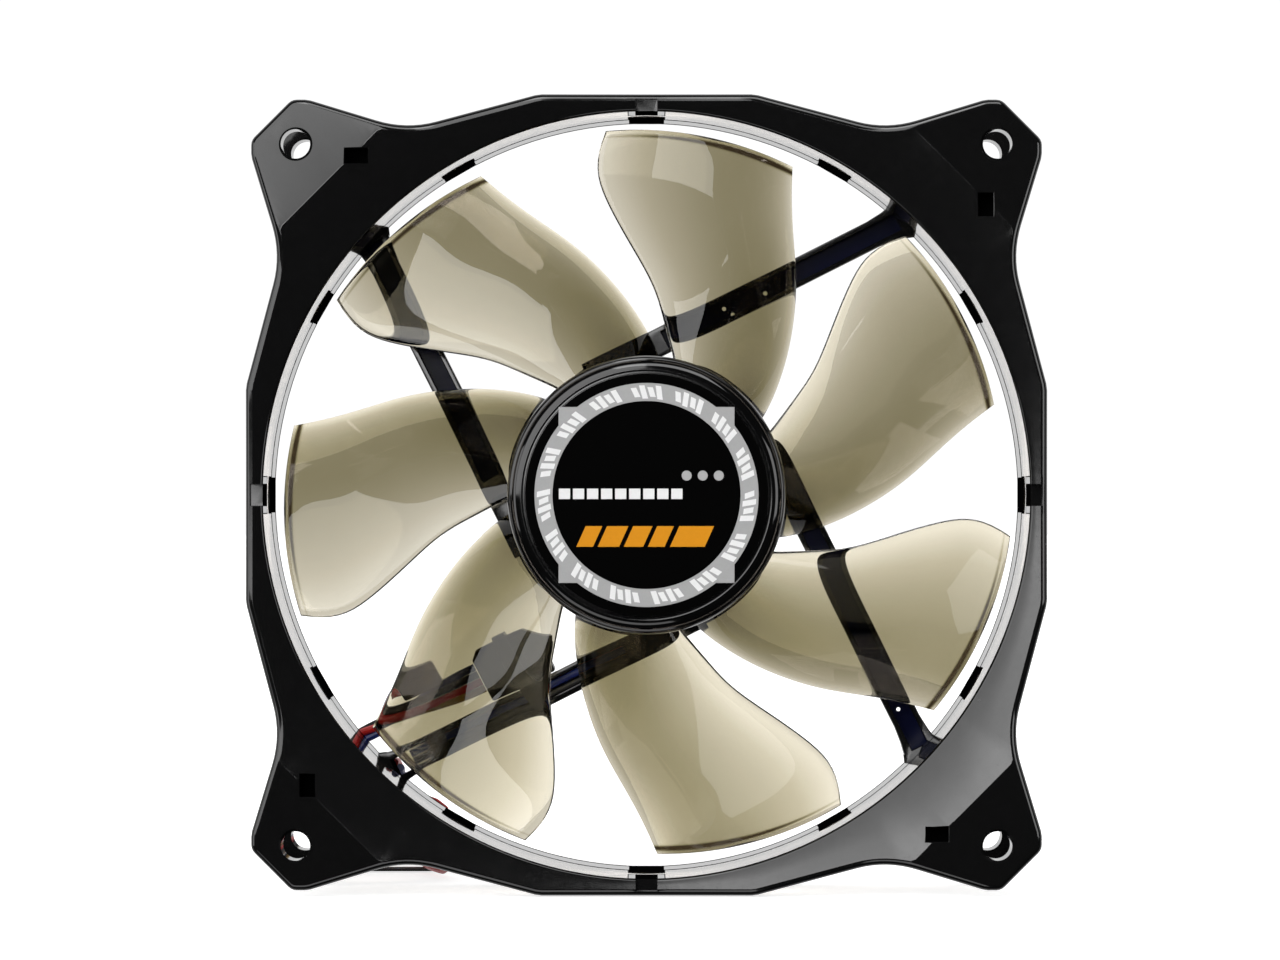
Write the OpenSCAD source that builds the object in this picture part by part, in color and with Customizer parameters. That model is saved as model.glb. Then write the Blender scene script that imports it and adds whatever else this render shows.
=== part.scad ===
// Axial case fan with a smoky seven-blade impeller. It stands on its lower edge: X runs across,
// Y runs through the fan from its intake side to its outlet side, and Z is up.
// The fan itself is drawn flat, with its axis on Z and its intake side up, and then stood upright.

/* [Frame] */
// Width and height of the frame
frame_w = 120; // [100:1:140]
// Depth of the frame from intake face to outlet face
frame_d = 25; // [22:0.5:32]
// Thinnest wall between the bore and the outside
rim_wall = 2.5; // [2.2:0.1:4]
// Distance of each screw hole from the two edges beside it
hole_inset = 7.5; // [7:0.1:9]
// Diameter of the screw holes
hole_d = 4.4; // [3.6:0.1:5]
// Thickness of the intake-side flange
front_t = 5; // [4:0.5:7]
// Thickness of the outlet-side flange
rear_t = 5; // [4.5:0.5:7]
// Wall of the clear duct ring
ring_wall = 1.3; // [1:0.1:1.6]
// Half the straight length in the middle of each side
side_flat = 16.2; // [10:0.2:20]
// How deep each side dips between its middle and the ear
side_dip = 5.3; // [3:0.1:6]

/* [Impeller] */
// Gap between the blade tips and the bore
tip_gap = 2.2; // [1:0.1:4]
// Number of blades
blade_count = 7; // [5:1:9]
// Thickness of a blade
blade_t = 1.4; // [1:0.1:2]
// Diameter of the hub cap
hub_d = 41.8; // [40:0.2:46]
// Wall of the hub
hub_wall = 1.4; // [1.2:0.1:2]

/* [Motor] */
// Shaft diameter
shaft_d = 3; // [2:0.1:4]
// Radial play of the shaft in its sleeve bearing
shaft_play = 0.03; // [0.02:0.01:0.06]
// Wall of the sleeve bearing
bearing_wall = 2.1; // [1.5:0.1:2.4]
// Wall of the brass bearing tube
tube_wall = 1; // [0.8:0.1:1.2]
// Radial thickness of the ring magnet
magnet_t = 2; // [1.5:0.1:2.5]
// Air gap between the magnet and the stator poles
air_gap = 0.6; // [0.4:0.1:1]
// Number of stator poles
pole_count = 4; // [4:2:6]
// Thickness of the circuit board
board_t = 1; // [0.8:0.1:1.6]

/* [Struts] */
// Width of a strut
strut_w = 4.3; // [3.6:0.1:5]
// Height of a strut
strut_h = 3.4; // [3:0.1:3.8]
// Wall of the channel in a strut
strut_wall = 0.8; // [0.6:0.1:1]
// Slant of the first strut
strut_slant = 26.8; // [20:0.2:32]

/* [Cable] */
// Diameter of the four-wire cable
cable_d = 2.8; // [2.4:0.1:3.2]
// Diameter of one wire
wire_d = 1.2; // [1:0.1:1.2]

/* [Hidden] */

$fn = 96;
eps = 0.01;
fit = 0.05; // clearance of parts pressed or slipped together

// Frame: places measured from the axis and from the middle of the depth
half_w = frame_w / 2;
front_z = frame_d / 2;
rear_z = -frame_d / 2;
bore_r = half_w - rim_wall;
hole_c = half_w - hole_inset;
ear_back = 0.8;               // how far the ears stop short of the flats
ear_reach = half_w - ear_back;
ear_flat = 0.6;               // flat beyond the hole line, before the corner chamfer
ear_shoulder = hole_c - 1.8;  // where the side reaches the ear's full height
dip_x = hole_c - 16.5;        // middle of the dip
dip_round = 16;               // radius that blends the dip
ear_round = 1.8;              // radius of the ear corners
crease_r = hole_c + 14.5;     // distance of the crease across each ear
ear_tilt = 2.5;               // slope of the ear faces beyond the crease
funnel_drop = 0.9;            // how far the face falls from the crease to the bore
lip_t = 2.3;                  // depth of the intake flange's own bore wall
collar_t = 3;                 // height of the outlet collar above its flange
ring_out = bore_r + fit + ring_wall;
collar_out = half_w - 0.4;    // outside of the ring's wide part and of the outlet collar
ring_low = rear_z + rear_t + collar_t;
ring_mid = front_z - front_t;
ring_top = front_z - lip_t;

// Clips that hold the ring between the two flanges
clip_count = 12;
clip_w = 5.4;
clip_rise = 5;
clip_gap = 0.15;
notch_w = 3.3;
notch_deep = 1.8;
pocket = [3.5, 2.3, 3];       // blind pocket beside each ear
pocket_c = [hole_c - 9.1, hole_c - 1.8];

// Struts and motor base
strut_off = hub_d / 2 - 0.75; // distance of each strut's middle line from the axis
base_r = hub_d / 2 + 0.6;
base_floor = 1.7;
base_rim = 3.2;
floor_z = rear_z + base_floor;
strut_end = sqrt(pow(bore_r + 1.3, 2) - pow(strut_off, 2));
channel_w = strut_w - 2 * strut_wall;
foot_w = 6.6;
foot_len = 6;
label_recess = 0.3;
label_t = 0.15;
label_r = hub_d / 2 - 2.9;
lead_hole = 5;                // length of the opening in the channel floor where the cable leaves

// Rotor stack, from the front
cap_top = front_z - 0.5;
cap_t = 1.6;
cap_skirt = 3.7;
cap_wall = 1.2;
hub_r = hub_d / 2 - 0.5;
hub_top = cap_top - cap_t - 0.2;
hub_shoulder = cap_top - cap_skirt - fit;
hub_low = rear_z + base_rim + 0.9;
hub_disc = 2.2;
yoke_out = hub_r - hub_wall - fit;
yoke_wall = 1.2;
yoke_top = hub_top - hub_disc - 0.2;
yoke_under = yoke_top - yoke_wall;
yoke_low = hub_low + 0.2;
magnet_out = yoke_out - yoke_wall - fit;
magnet_in = magnet_out - magnet_t;
magnet_low = yoke_low + 0.6;
magnet_top = yoke_under - 2.6;
bush_r = 3.2;
bush_len = 4.4;
shaft_r = shaft_d / 2;
shaft_top = hub_top - 0.4;
pad_t = 0.8;
shaft_low = floor_z + pad_t + 0.1;
clip_z = shaft_low + 1;
clip_t = 0.4;
groove_r = shaft_r - 0.35;

// Stator stack, from the rear
board_gap = wire_d + 0.2;     // the leads lie under the board
board_z = floor_z + board_gap;
board_top = board_z + board_t;
board_r = magnet_in + 1.2;
sleeve_in = shaft_r + shaft_play;
sleeve_out = sleeve_in + bearing_wall;
tube_in = sleeve_out + fit;
tube_out = tube_in + tube_wall;
pole_r = magnet_in - air_gap;
stator_lift = 2.1;            // from the board to the coils' insulator
insulator_t = 1.2;
coil_t = 1.4;
end_gap = 3.2;                // free space between the coils and the yoke
core_z = board_top + stator_lift + insulator_t;
core_h = yoke_under - end_gap - coil_t - insulator_t - core_z;
neck_w = 3.6;
pole_t = 2;
core_hub_r = tube_out + 2;
sleeve_low = clip_z + clip_t + 0.1;
sleeve_high = core_z + core_h + 3;

// Blades: edge angles at even steps from hub to tip, in degrees around the axis
blade_r0 = hub_r - hub_wall / 2;
blade_r1 = bore_r - tip_gap;
lead_angle = [-12.5, -6.5, -3.3, 1.5, 5.4, 8, 9, 6.4];
trail_angle = [-58.5, -52, -46, -40.3, -35.2, -30, -26.4, -24];
lead_z = [hub_shoulder - 1.5, hub_shoulder - 3.2];
trail_z = [hub_low + 0.6, rear_z + strut_h + 1.3];
camber = 1.35;                // above 1, the blade curls more steeply towards its rear edge
span_steps = 12;
chord_steps = 9;

// Plugs, placed along the lower-left strut: along it from the axis, and across from the axis
lead_strut = 2;               // number of the strut that carries the leads
plug_s = 30.1;
plug_size = [10.6, 8.2, 6];
plug_n = strut_off - strut_w / 2 - plug_size[1] / 2 - 0.1;
plug_z = rear_z - 1.7;
pin_pitch = 2.54;
speed_pitch = 1.9;
speed_s = min(44.2, bore_r - 5);
speed_n = 10.2;
speed_size = [6.4, 3.9, 4];
tie_w = 2;
tie_t = 0.5;

// Cable routes, in the standing frame: out of the strut, and from the hank back to the plug
out_route = [
    [-39, 12.6, 17.7], [-39, 15.6, 17.6], [-38.9, 18.2, 16.2], [-37.9, 19.6, 13.7],
    [-35.4, 19.9, 11.9], [-32.4, 19.9, 10.7], [-31.3, 20.1, 7.7], [-31.2, 21, 4.3],
    [-31.45, 23.6, 1.9], [-31.75, 27, 1.5]
];
back_route = [
    [-51.1, 22.5, 11.3], [-51, 18.8, 11.8], [-50.7, 15.9, 13.4], [-50, 14.5, 15.8],
    [-49, 14.2, 18.2], [-47.5, 14.2, 20.4], [-44.7, 14.2, 22.3], [-38.5, 14.2, 25.2],
    [-32.2, 14.2, 28.4], [-25.6, 14.2, 31.6]
];
hank_x = -42.9;
hank_y = 33.7;
hank_w = 19.6;
hank_len = 39.6;
hank_h = 9.8;

// ---- Functions ----

function unit(v) = v / norm(v);

// A point on the smooth curve through b and c, whose neighbours are a and d
function curve(a, b, c, d, t) =
    0.5 * (2 * b + (c - a) * t + (2 * a - 5 * b + 4 * c - d) * t * t
    + (3 * b - a - 3 * c + d) * t * t * t);

// The smooth curve through all of a list's values, at a share t of its length
function along(list, t) =
    let (last = len(list) - 1, at = min(t, 1) * last, i = min(floor(at), last - 1))
    curve(list[max(i - 1, 0)], list[i], list[i + 1], list[min(i + 2, last)], at - i);

// The points of a corner at b between a and c, rounded to radius r in n steps
function round_corner(a, b, c, r, n) =
    let (
        u = unit(a - b), v = unit(c - b),
        half = acos(u * v) / 2,
        mid = b + unit(u + v) * r / sin(half),
        from = atan2((b + u * r / tan(half) - mid)[1], (b + u * r / tan(half) - mid)[0]),
        to = atan2((b + v * r / tan(half) - mid)[1], (b + v * r / tan(half) - mid)[0]),
        turn = (to - from + 540) % 360 - 180
    )
    [for (k = [0 : n]) mid + r * [cos(from + turn * k / n), sin(from + turn * k / n)]];

// One corner of the frame's outline, from the top side's flat to the right side's flat
function corner_points() =
    let (
        p = [
            [side_flat, half_w], [dip_x, half_w - side_dip], [ear_shoulder, ear_reach],
            [hole_c + ear_flat, ear_reach], [ear_reach, hole_c + ear_flat],
            [ear_reach, ear_shoulder], [half_w - side_dip, dip_x], [half_w, side_flat]
        ]
    )
    concat(
        [p[0]], round_corner(p[0], p[1], p[2], dip_round, 6), [p[2]],
        round_corner(p[2], p[3], p[4], ear_round, 3),
        round_corner(p[3], p[4], p[5], ear_round, 3),
        [p[5]], round_corner(p[5], p[6], p[7], dip_round, 6), [p[7]]
    );

function turned(p, a) = [p[0] * cos(a) - p[1] * sin(a), p[0] * sin(a) + p[1] * cos(a)];

// A point of a blade at span share u and chord share v, on its intake side (+1) or outlet side (-1)
function blade_point(u, v, side) =
    let (
        r = blade_r0 + (blade_r1 - blade_r0) * u,
        a0 = along(lead_angle, u), a1 = along(trail_angle, u),
        z0 = lead_z[0] + (lead_z[1] - lead_z[0]) * u,
        z1 = trail_z[0] + (trail_z[1] - trail_z[0]) * u,
        a = a0 + (a1 - a0) * v, z = z0 + (z1 - z0) * pow(v, camber),
        run = (a1 - a0) * PI / 180 * r,
        fall = (z1 - z0) * camber * pow(max(v, 0.02), camber - 1),
        half = blade_t / 2 * sqrt(max(1 - pow(2 * v - 1, 4), 0.12)),
        n = unit([fall, -run]) * half * side,
        turn = a + n[0] / r * 180 / PI
    )
    [r * cos(turn), r * sin(turn), z + n[1]];

// The rings of a tube along a route: its centre points and the tube's corners round each
function tube_points(path, r, sides, ref) =
    [
        for (i = [0 : len(path) - 1])
            let (
                t = unit(path[min(i + 1, len(path) - 1)] - path[max(i - 1, 0)]),
                u = unit(cross(t, ref)),
                v = cross(t, u)
            )
            for (k = [0 : sides - 1])
                path[i] + r * (u * cos(k * 360 / sides) + v * sin(k * 360 / sides))
    ];

// ---- Helpers ----

module stand() {
    translate([0, 0, half_w]) rotate([90, 0, 0]) children();
}

module ring(r_out, r_in, z_low, z_high) {
    translate([0, 0, z_low]) difference() {
        cylinder(r = r_out, h = z_high - z_low);
        translate([0, 0, -eps]) cylinder(r = r_in, h = z_high - z_low + 2 * eps);
    }
}

module disc(r, z_low, z_high) {
    translate([0, 0, z_low]) cylinder(r = r, h = z_high - z_low);
}

module box(low, high) {
    translate(low) cube(high - low);
}

// A tube of radius r along a route; ref is a direction that the route never takes
module sweep(route, steps, r, ref) {
    sides = 8;
    path = [for (k = [0 : steps]) along(route, k / steps)];
    points = tube_points(path, r, sides, ref);
    walls = [
        for (i = [0 : steps - 1]) for (k = [0 : sides - 1])
            let (n = (k + 1) % sides)
            [i * sides + k, i * sides + n, (i + 1) * sides + n, (i + 1) * sides + k]
    ];
    low = [for (k = [0 : sides - 1]) sides - 1 - k];
    high = [for (k = [0 : sides - 1]) steps * sides + k];
    polyhedron(points, concat([low], walls, [high]), convexity = 4);
}

module outline() {
    quarter = corner_points();
    polygon([for (q = [0 : 3]) for (p = quarter) turned(p, -90 * q)]);
}

module screw_holes() {
    for (x = [-1, 1]) for (y = [-1, 1])
        translate([x * hole_c, y * hole_c, rear_z - 1])
            cylinder(d = hole_d, h = frame_d + 2, $fn = 48);
}

// A block that stands on the bore circle at an angle: width across, from radius to radius
module on_circle(angle, width, r_in, r_out, z_low, z_high) {
    rotate([0, 0, angle]) box([r_in, -width / 2, z_low], [r_out, width / 2, z_high]);
}

// Puts something beside the strut that carries the leads: X along it, Y across from the axis
module at_lead_strut() {
    rotate([0, 0, strut_slant + 90 * lead_strut]) children();
}

// ---- Frame ----

module front_frame() {
    color([0.05, 0.05, 0.05]) stand() difference() {
        union() {
            translate([0, 0, ring_mid]) linear_extrude(front_t) outline();
            for (i = [0 : 90 : 359])
                intersection() {
                    on_circle(i, clip_w, bore_r, ring_out, ring_mid - clip_rise, ring_top + eps);
                    ring(ring_out, bore_r, ring_mid - clip_rise, ring_top + eps);
                }
        }
        disc(bore_r, ring_mid - 1, front_z + 1);
        difference() {
            disc(ring_out + fit, ring_mid - 1, ring_top);
            for (i = [0 : 90 : 359]) on_circle(i, clip_w, bore_r - 1, half_w, ring_mid - 1, front_z);
        }
        // funnel towards the bore
        translate([0, 0, front_z - funnel_drop])
            cylinder(r1 = bore_r, r2 = crease_r + eps, h = funnel_drop + eps);
        // ear faces that fall away from the crease
        for (a = [45 : 90 : 359])
            rotate([0, 0, a]) translate([crease_r, 0, front_z]) rotate([0, ear_tilt, 0])
                box([0, -half_w, 0], [half_w, half_w, 5]);
        screw_holes();
        for (q = [0 : 3])
            rotate([0, 0, 90 * q]) translate([-pocket_c[0], pocket_c[1], front_z - pocket[2]])
                box([-pocket[0] / 2, -pocket[1] / 2, 0], [pocket[0] / 2, pocket[1] / 2, 5]);
        for (i = [0 : 90 : 359])
            on_circle(i, notch_w, bore_r - 1, bore_r + notch_deep, ring_top + 0.8, front_z + 1);
    }
}

module duct_ring() {
    color([0.85, 0.83, 0.8, 0.5]) stand() difference() {
        union() {
            ring(ring_out, bore_r + fit, ring_low, ring_top);
            ring(collar_out, bore_r + fit, ring_low, ring_mid);
        }
        // slots for the clips of both flanges
        for (i = [0 : 360 / clip_count : 359])
            on_circle(i, clip_w + 2 * clip_gap, bore_r - 1, ring_out + fit,
                ring_low - 1, ring_low + clip_rise + clip_gap);
        for (i = [0 : 90 : 359])
            on_circle(i, clip_w + 2 * clip_gap, bore_r - 1, ring_out + fit,
                ring_mid - clip_rise - clip_gap, ring_top + 1);
    }
}

module strut(number) {
    rotate([0, 0, strut_slant + 90 * number]) {
        difference() {
            union() {
                box([0, strut_off - strut_w / 2, rear_z],
                    [strut_end, strut_off + strut_w / 2, rear_z + strut_h]);
                translate([0, strut_off, rear_z]) linear_extrude(strut_h) polygon([
                    [strut_end - foot_len, -strut_w / 2], [strut_end, -foot_w / 2],
                    [strut_end, foot_w / 2], [strut_end - foot_len, strut_w / 2]
                ]);
            }
            box([base_r / 2, strut_off - channel_w / 2, rear_z + strut_wall],
                [strut_end - 1.6, strut_off + channel_w / 2, rear_z + strut_h + 1]);
        }
    }
}

module rear_frame() {
    color([0.05, 0.05, 0.05]) stand() difference() {
        union() {
            difference() {
                union() {
                    translate([0, 0, rear_z]) linear_extrude(rear_t) outline();
                    ring(collar_out, bore_r, rear_z + rear_t - eps, ring_low);
                }
                disc(bore_r, rear_z - 1, ring_low + 1);
            }
            for (i = [0 : 360 / clip_count : 359])
                intersection() {
                    on_circle(i, clip_w, bore_r, ring_out, ring_low - eps, ring_low + clip_rise);
                    ring(ring_out, bore_r, ring_low - eps, ring_low + clip_rise);
                }
            difference() {
                union() {
                    for (n = [0 : 3]) strut(n);
                    disc(base_r, rear_z, rear_z + base_rim);
                }
                disc(base_r - 1.2, floor_z, front_z);
            }
            ring(tube_out + 1.4, tube_out + fit, floor_z - eps, board_z);
            ring(board_r - 0.4, board_r - 1.4, floor_z - eps, board_z);
        }
        screw_holes();
        disc(label_r + 0.2, rear_z - 1, rear_z + label_recess);
        // trough that brings the leads from the strut's channel to the board
        at_lead_strut() {
            box([0, board_r - 2.6, rear_z + strut_wall], [7.5, strut_off + channel_w / 2, floor_z + 3]);
            box([5, strut_off - channel_w / 2, rear_z + strut_wall],
                [base_r, strut_off + channel_w / 2, floor_z + 3]);
            box([strut_end - 1.8 - lead_hole, strut_off - channel_w / 2, rear_z - 1],
                [strut_end - 1.8, strut_off + channel_w / 2, floor_z + 3]);
            for (n = [-0.7, 0.7])
                translate([24, strut_off + n, rear_z - 1]) cylinder(d = 0.8, h = 3, $fn = 24);
        }
    }
}

// ---- Rotor ----

module blade() {
    nu = span_steps;
    nv = chord_steps;
    w = nv + 1;
    sheet = (nu + 1) * w;
    points = [
        for (side = [1, -1]) for (i = [0 : nu]) for (j = [0 : nv])
            blade_point(i / nu, j / nv, side)
    ];
    intake = [
        for (i = [0 : nu - 1]) for (j = [0 : nv - 1]) for (h = [0, 1])
            let (a = i * w + j)
            h == 0 ? [a, a + w, a + w + 1] : [a, a + w + 1, a + 1]
    ];
    outlet = [for (f = intake) [f[0] + sheet, f[2] + sheet, f[1] + sheet]];
    rim = concat(
        [for (j = [0 : nv - 1]) j],
        [for (i = [0 : nu - 1]) i * w + nv],
        [for (j = [0 : nv - 1]) nu * w + nv - j],
        [for (i = [0 : nu - 1]) (nu - i) * w]
    );
    edge = [
        for (k = [0 : len(rim) - 1]) for (h = [0, 1])
            let (a = rim[k], b = rim[(k + 1) % len(rim)])
            h == 0 ? [a, b, b + sheet] : [a, b + sheet, a + sheet]
    ];
    polyhedron(points, concat(intake, outlet, edge), convexity = 6);
}

module impeller() {
    color([0.62, 0.6, 0.5, 0.75]) stand() {
        difference() {
            union() {
                disc(hub_r, hub_low, hub_shoulder);
                disc(hub_r - cap_wall + 0.4, hub_shoulder - eps, hub_top);
            }
            disc(yoke_out + fit, hub_low - 1, hub_top - hub_disc);
            disc(bush_r + fit, hub_low, hub_top + 1);
        }
        for (n = [0 : blade_count - 1])
            rotate([0, 0, 90 + n * 360 / blade_count]) blade();
    }
}

module hub_cap() {
    cap_r = hub_d / 2;
    low = cap_top - cap_skirt;
    inner = hub_r - cap_wall + 0.4 + fit;
    color([0.04, 0.04, 0.04]) stand() rotate_extrude() polygon([
        [0, cap_top - cap_t], [inner, cap_top - cap_t], [inner, low], [cap_r, low],
        [cap_r, cap_top - 1.5],
        for (k = [0 : 4]) [cap_r - 1 + cos(k * 22.5), cap_top - 1.5 + sin(k * 22.5)],
        [cap_r - 1.3, cap_top - 0.5], [cap_r - 1.6, cap_top], [0, cap_top]
    ]);
}

module hub_label() {
    color([0.75, 0.75, 0.78]) stand() disc(hub_d / 2 - 2.75, cap_top, cap_top + label_t);
}

module rotor_yoke() {
    color([0.55, 0.56, 0.58]) stand() difference() {
        disc(yoke_out, yoke_low, yoke_top);
        disc(yoke_out - yoke_wall, yoke_low - 1, yoke_under);
        disc(bush_r + fit, yoke_low, yoke_top + 1);
    }
}

module rotor_magnet() {
    color([0.25, 0.22, 0.2]) stand() ring(magnet_out, magnet_in, magnet_low, magnet_top);
}

module rotor_shaft() {
    tip = 0.4;
    color([0.8, 0.8, 0.82]) stand() rotate_extrude() polygon([
        [0, shaft_low], [shaft_r - tip, shaft_low], [shaft_r, shaft_low + tip], [shaft_r, clip_z],
        [groove_r, clip_z], [groove_r, clip_z + clip_t], [shaft_r, clip_z + clip_t],
        [shaft_r, shaft_top], [0, shaft_top]
    ]);
}

module shaft_bush() {
    color([0.75, 0.6, 0.3]) stand()
        ring(bush_r, shaft_r + fit / 2, hub_top - bush_len - 0.2, hub_top - 0.2);
}

module retaining_clip() {
    margin = 0.05;
    color([0.3, 0.3, 0.32]) stand() difference() {
        ring(shaft_r + 0.9, groove_r + margin, clip_z + margin, clip_z + clip_t - margin);
        box([0, -groove_r * 0.7, clip_z - 1], [shaft_r + 2, groove_r * 0.7, clip_z + 1]);
    }
}

module oil_washer() {
    color([0.2, 0.2, 0.2]) stand()
        ring(shaft_r + 1.4, shaft_r + fit / 2, sleeve_high + 0.3, sleeve_high + 0.7);
}

// ---- Stator ----

module bearing_sleeve() {
    color([0.6, 0.45, 0.25]) stand() ring(sleeve_out, sleeve_in, sleeve_low, sleeve_high);
}

module bearing_tube() {
    color([0.8, 0.65, 0.3]) stand() ring(tube_out, tube_in, floor_z, sleeve_high + 0.2);
}

module thrust_pad() {
    color([0.9, 0.9, 0.85]) stand() disc(tube_in - fit, floor_z, floor_z + pad_t);
}

// A stator lamination: hub, necks and pole faces, shrunk by less
module poles(less) {
    difference() {
        union() {
            circle(r = core_hub_r);
            for (a = [0 : 360 / pole_count : 359]) rotate(a) {
                translate([0, -neck_w / 2 - (less > 0 ? 0.3 : 0)])
                    square([pole_r - 1, neck_w + (less > 0 ? 0.6 : 0)]);
                intersection() {
                    difference() {
                        circle(r = pole_r - less);
                        circle(r = pole_r - pole_t);
                    }
                    polygon([[0, 0], [2 * pole_r, -1.2 * pole_r], [2 * pole_r, 1.2 * pole_r]]);
                }
            }
        }
        circle(r = tube_out + fit);
    }
}

module stator_core() {
    color([0.45, 0.46, 0.48]) stand()
        translate([0, 0, core_z]) linear_extrude(core_h) poles(0);
}

module front_insulator() {
    color([0.9, 0.9, 0.88]) stand()
        translate([0, 0, core_z + core_h]) linear_extrude(insulator_t) poles(0.5);
}

module rear_insulator() {
    color([0.9, 0.9, 0.88]) stand() {
        translate([0, 0, core_z - insulator_t]) linear_extrude(insulator_t) poles(0.5);
        ring(core_hub_r - 0.6, tube_out + fit, board_top, core_z - insulator_t + eps);
    }
}

module stator_coils() {
    neck = neck_w + 0.6 + 2 * fit;
    low = core_z - insulator_t - fit;
    high = core_z + core_h + insulator_t + fit;
    coil_in = core_hub_r + 0.3;
    wind = min(2.4, coil_in * tan(180 / pole_count) - neck / 2 - 0.2);
    coil_out = sqrt(pow(pole_r - pole_t, 2) - pow(neck / 2 + wind, 2)) - 0.2;
    color([0.75, 0.4, 0.2]) stand()
        for (a = [0 : 360 / pole_count : 359]) rotate([0, 0, a]) difference() {
            box([coil_in, -neck / 2 - wind, low - coil_t], [coil_out, neck / 2 + wind, high + coil_t]);
            box([coil_in - 1, -neck / 2, low], [coil_out + 1, neck / 2, high]);
        }
}

module circuit_board() {
    color([0.1, 0.35, 0.2]) stand() ring(board_r, tube_out + 0.3, board_z, board_top);
}

module hall_sensor() {
    color([0.12, 0.12, 0.12]) stand() rotate([0, 0, 45])
        box([pole_r - 2.6, -2, board_top], [pole_r - 1.1, 2, board_top + 1.5]);
}

module driver_chip() {
    color([0.12, 0.12, 0.12]) stand() rotate([0, 0, 135])
        box([pole_r - 5.5, -2.5, board_top], [pole_r - 1.5, 2.5, board_top + 1.5]);
}

module capacitors() {
    color([0.6, 0.5, 0.35]) stand() rotate([0, 0, 225]) for (y = [-1.6, 1.6])
        box([pole_r - 4, y - 0.7, board_top], [pole_r - 1.6, y + 0.7, board_top + 0.9]);
}

module rear_label() {
    color([0.8, 0.8, 0.8]) stand()
        disc(label_r, rear_z + label_recess - label_t, rear_z + label_recess);
}

// ---- Leads and cable ----

module strut_leads() {
    r = wire_d / 2;
    gap = wire_d + fit;
    low = rear_z + strut_wall + r + fit;
    under = floor_z + r + fit;
    in_n = board_r - 2;
    cross_n = board_r + 1.4;
    start_s = strut_end - 2.4 - lead_hole / 2;
    color([0.2, 0.2, 0.6]) stand() at_lead_strut()
        for (i = [0, 1]) for (k = [0, 1])
            let (n = strut_off + (i - 0.5) * gap, z = low + k * gap, s = 3.6 + gap * (2 * k - i))
            sweep([
                [start_s, n, z], [start_s / 2, n, z], [s + 1.5 + 1.5 * k, n, z],
                [s, cross_n, z], [s, in_n + 1, under], [s, in_n, under]
            ], 20, r, [0, 0, 1]);
}

module lead_clip() {
    s = strut_end - 9.5;
    color([0.06, 0.06, 0.06]) stand() at_lead_strut()
        box([s - 1.5, strut_off - strut_w / 2, rear_z + strut_h],
            [s + 1.5, strut_off + strut_w / 2, rear_z + strut_h + 0.6]);
}

module cable_out() {
    color([0.15, 0.15, 0.15]) sweep(out_route, 14, cable_d / 2, [1, 0, 0]);
}

module cable_hank() {
    end_r = hank_w / 2;
    reach = hank_len / 2 - end_r;
    color([0.15, 0.15, 0.15]) translate([hank_x, hank_y, 0]) union() {
        translate([0, -reach, 0]) cylinder(r = end_r, h = hank_h);
        translate([0, reach, 0]) cylinder(r = end_r, h = hank_h);
        box([-end_r, -reach, 0], [end_r, reach, hank_h]);
    }
}

module cable_back() {
    color([0.15, 0.15, 0.15]) sweep(back_route, 20, cable_d / 2, [0.45, 0, -0.89]);
}

module fan_plug() {
    half = plug_size / 2;
    bevel = [1.8, 1.2];
    color([0.08, 0.08, 0.08]) stand() at_lead_strut() translate([plug_s, plug_n, plug_z])
        difference() {
            linear_extrude(plug_size[2], center = true) polygon([
                [half[0], bevel[1] - half[1]], [half[0], half[1]], [-half[0], half[1]],
                [-half[0], bevel[0] - half[1]], [bevel[0] - half[0], -half[1]],
                [half[0] - bevel[1], -half[1]]
            ]);
            for (y = [-pin_pitch, 0, pin_pitch])
                box([-half[0] - 1, y - 0.8, -0.8], [half[0] - 3, y + 0.8, 0.8]);
        }
}

module speed_plug() {
    color([0.08, 0.08, 0.08]) stand() at_lead_strut() translate([speed_s, speed_n, plug_z])
        difference() {
            box(-speed_size / 2, speed_size / 2);
            for (y = [-speed_pitch / 2, speed_pitch / 2])
                box([-speed_size[0] / 2 - 1, y - 0.6, -0.6], [speed_size[0] / 2 - 2, y + 0.6, 0.6]);
        }
}

module branch_leads() {
    back = speed_s + speed_size[0] / 2;
    color([0.1, 0.2, 0.6]) stand() at_lead_strut() for (y = [-0.65, 0.65])
        sweep([
            [back, speed_n + y, plug_z], [back + 2.4, speed_n + y, plug_z],
            [back + 5.2, speed_n + y + 1, plug_z]
        ], 6, wire_d / 2, [0, 0, 1]);
}

module plug_terminals() {
    color([0.8, 0.7, 0.4]) stand() at_lead_strut() {
        for (y = [-pin_pitch, 0, pin_pitch])
            translate([plug_s, plug_n + y, plug_z])
                box([-plug_size[0] / 2 + 1.5, -0.5, -0.5], [plug_size[0] / 2 - 3, 0.5, 0.5]);
        for (y = [-speed_pitch / 2, speed_pitch / 2])
            translate([speed_s, speed_n + y, plug_z])
                box([-speed_size[0] / 2 + 1, -0.35, -0.35], [speed_size[0] / 2 - 2, 0.35, 0.35]);
    }
}

// A band round the strut and the plug beside it
module cable_tie() {
    inside = 0.1;
    low_n = plug_n - plug_size[1] / 2 - inside;
    high_n = strut_off + strut_w / 2 + inside;
    low_z = plug_z - plug_size[2] / 2 - inside;
    high_z = rear_z + strut_h + inside;
    color([0.06, 0.06, 0.06]) stand() at_lead_strut() difference() {
        box([plug_s - tie_w / 2, low_n - tie_t, low_z - tie_t],
            [plug_s + tie_w / 2, high_n + tie_t, high_z + tie_t]);
        box([plug_s - tie_w, low_n, low_z], [plug_s + tie_w, high_n, high_z]);
    }
}

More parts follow.
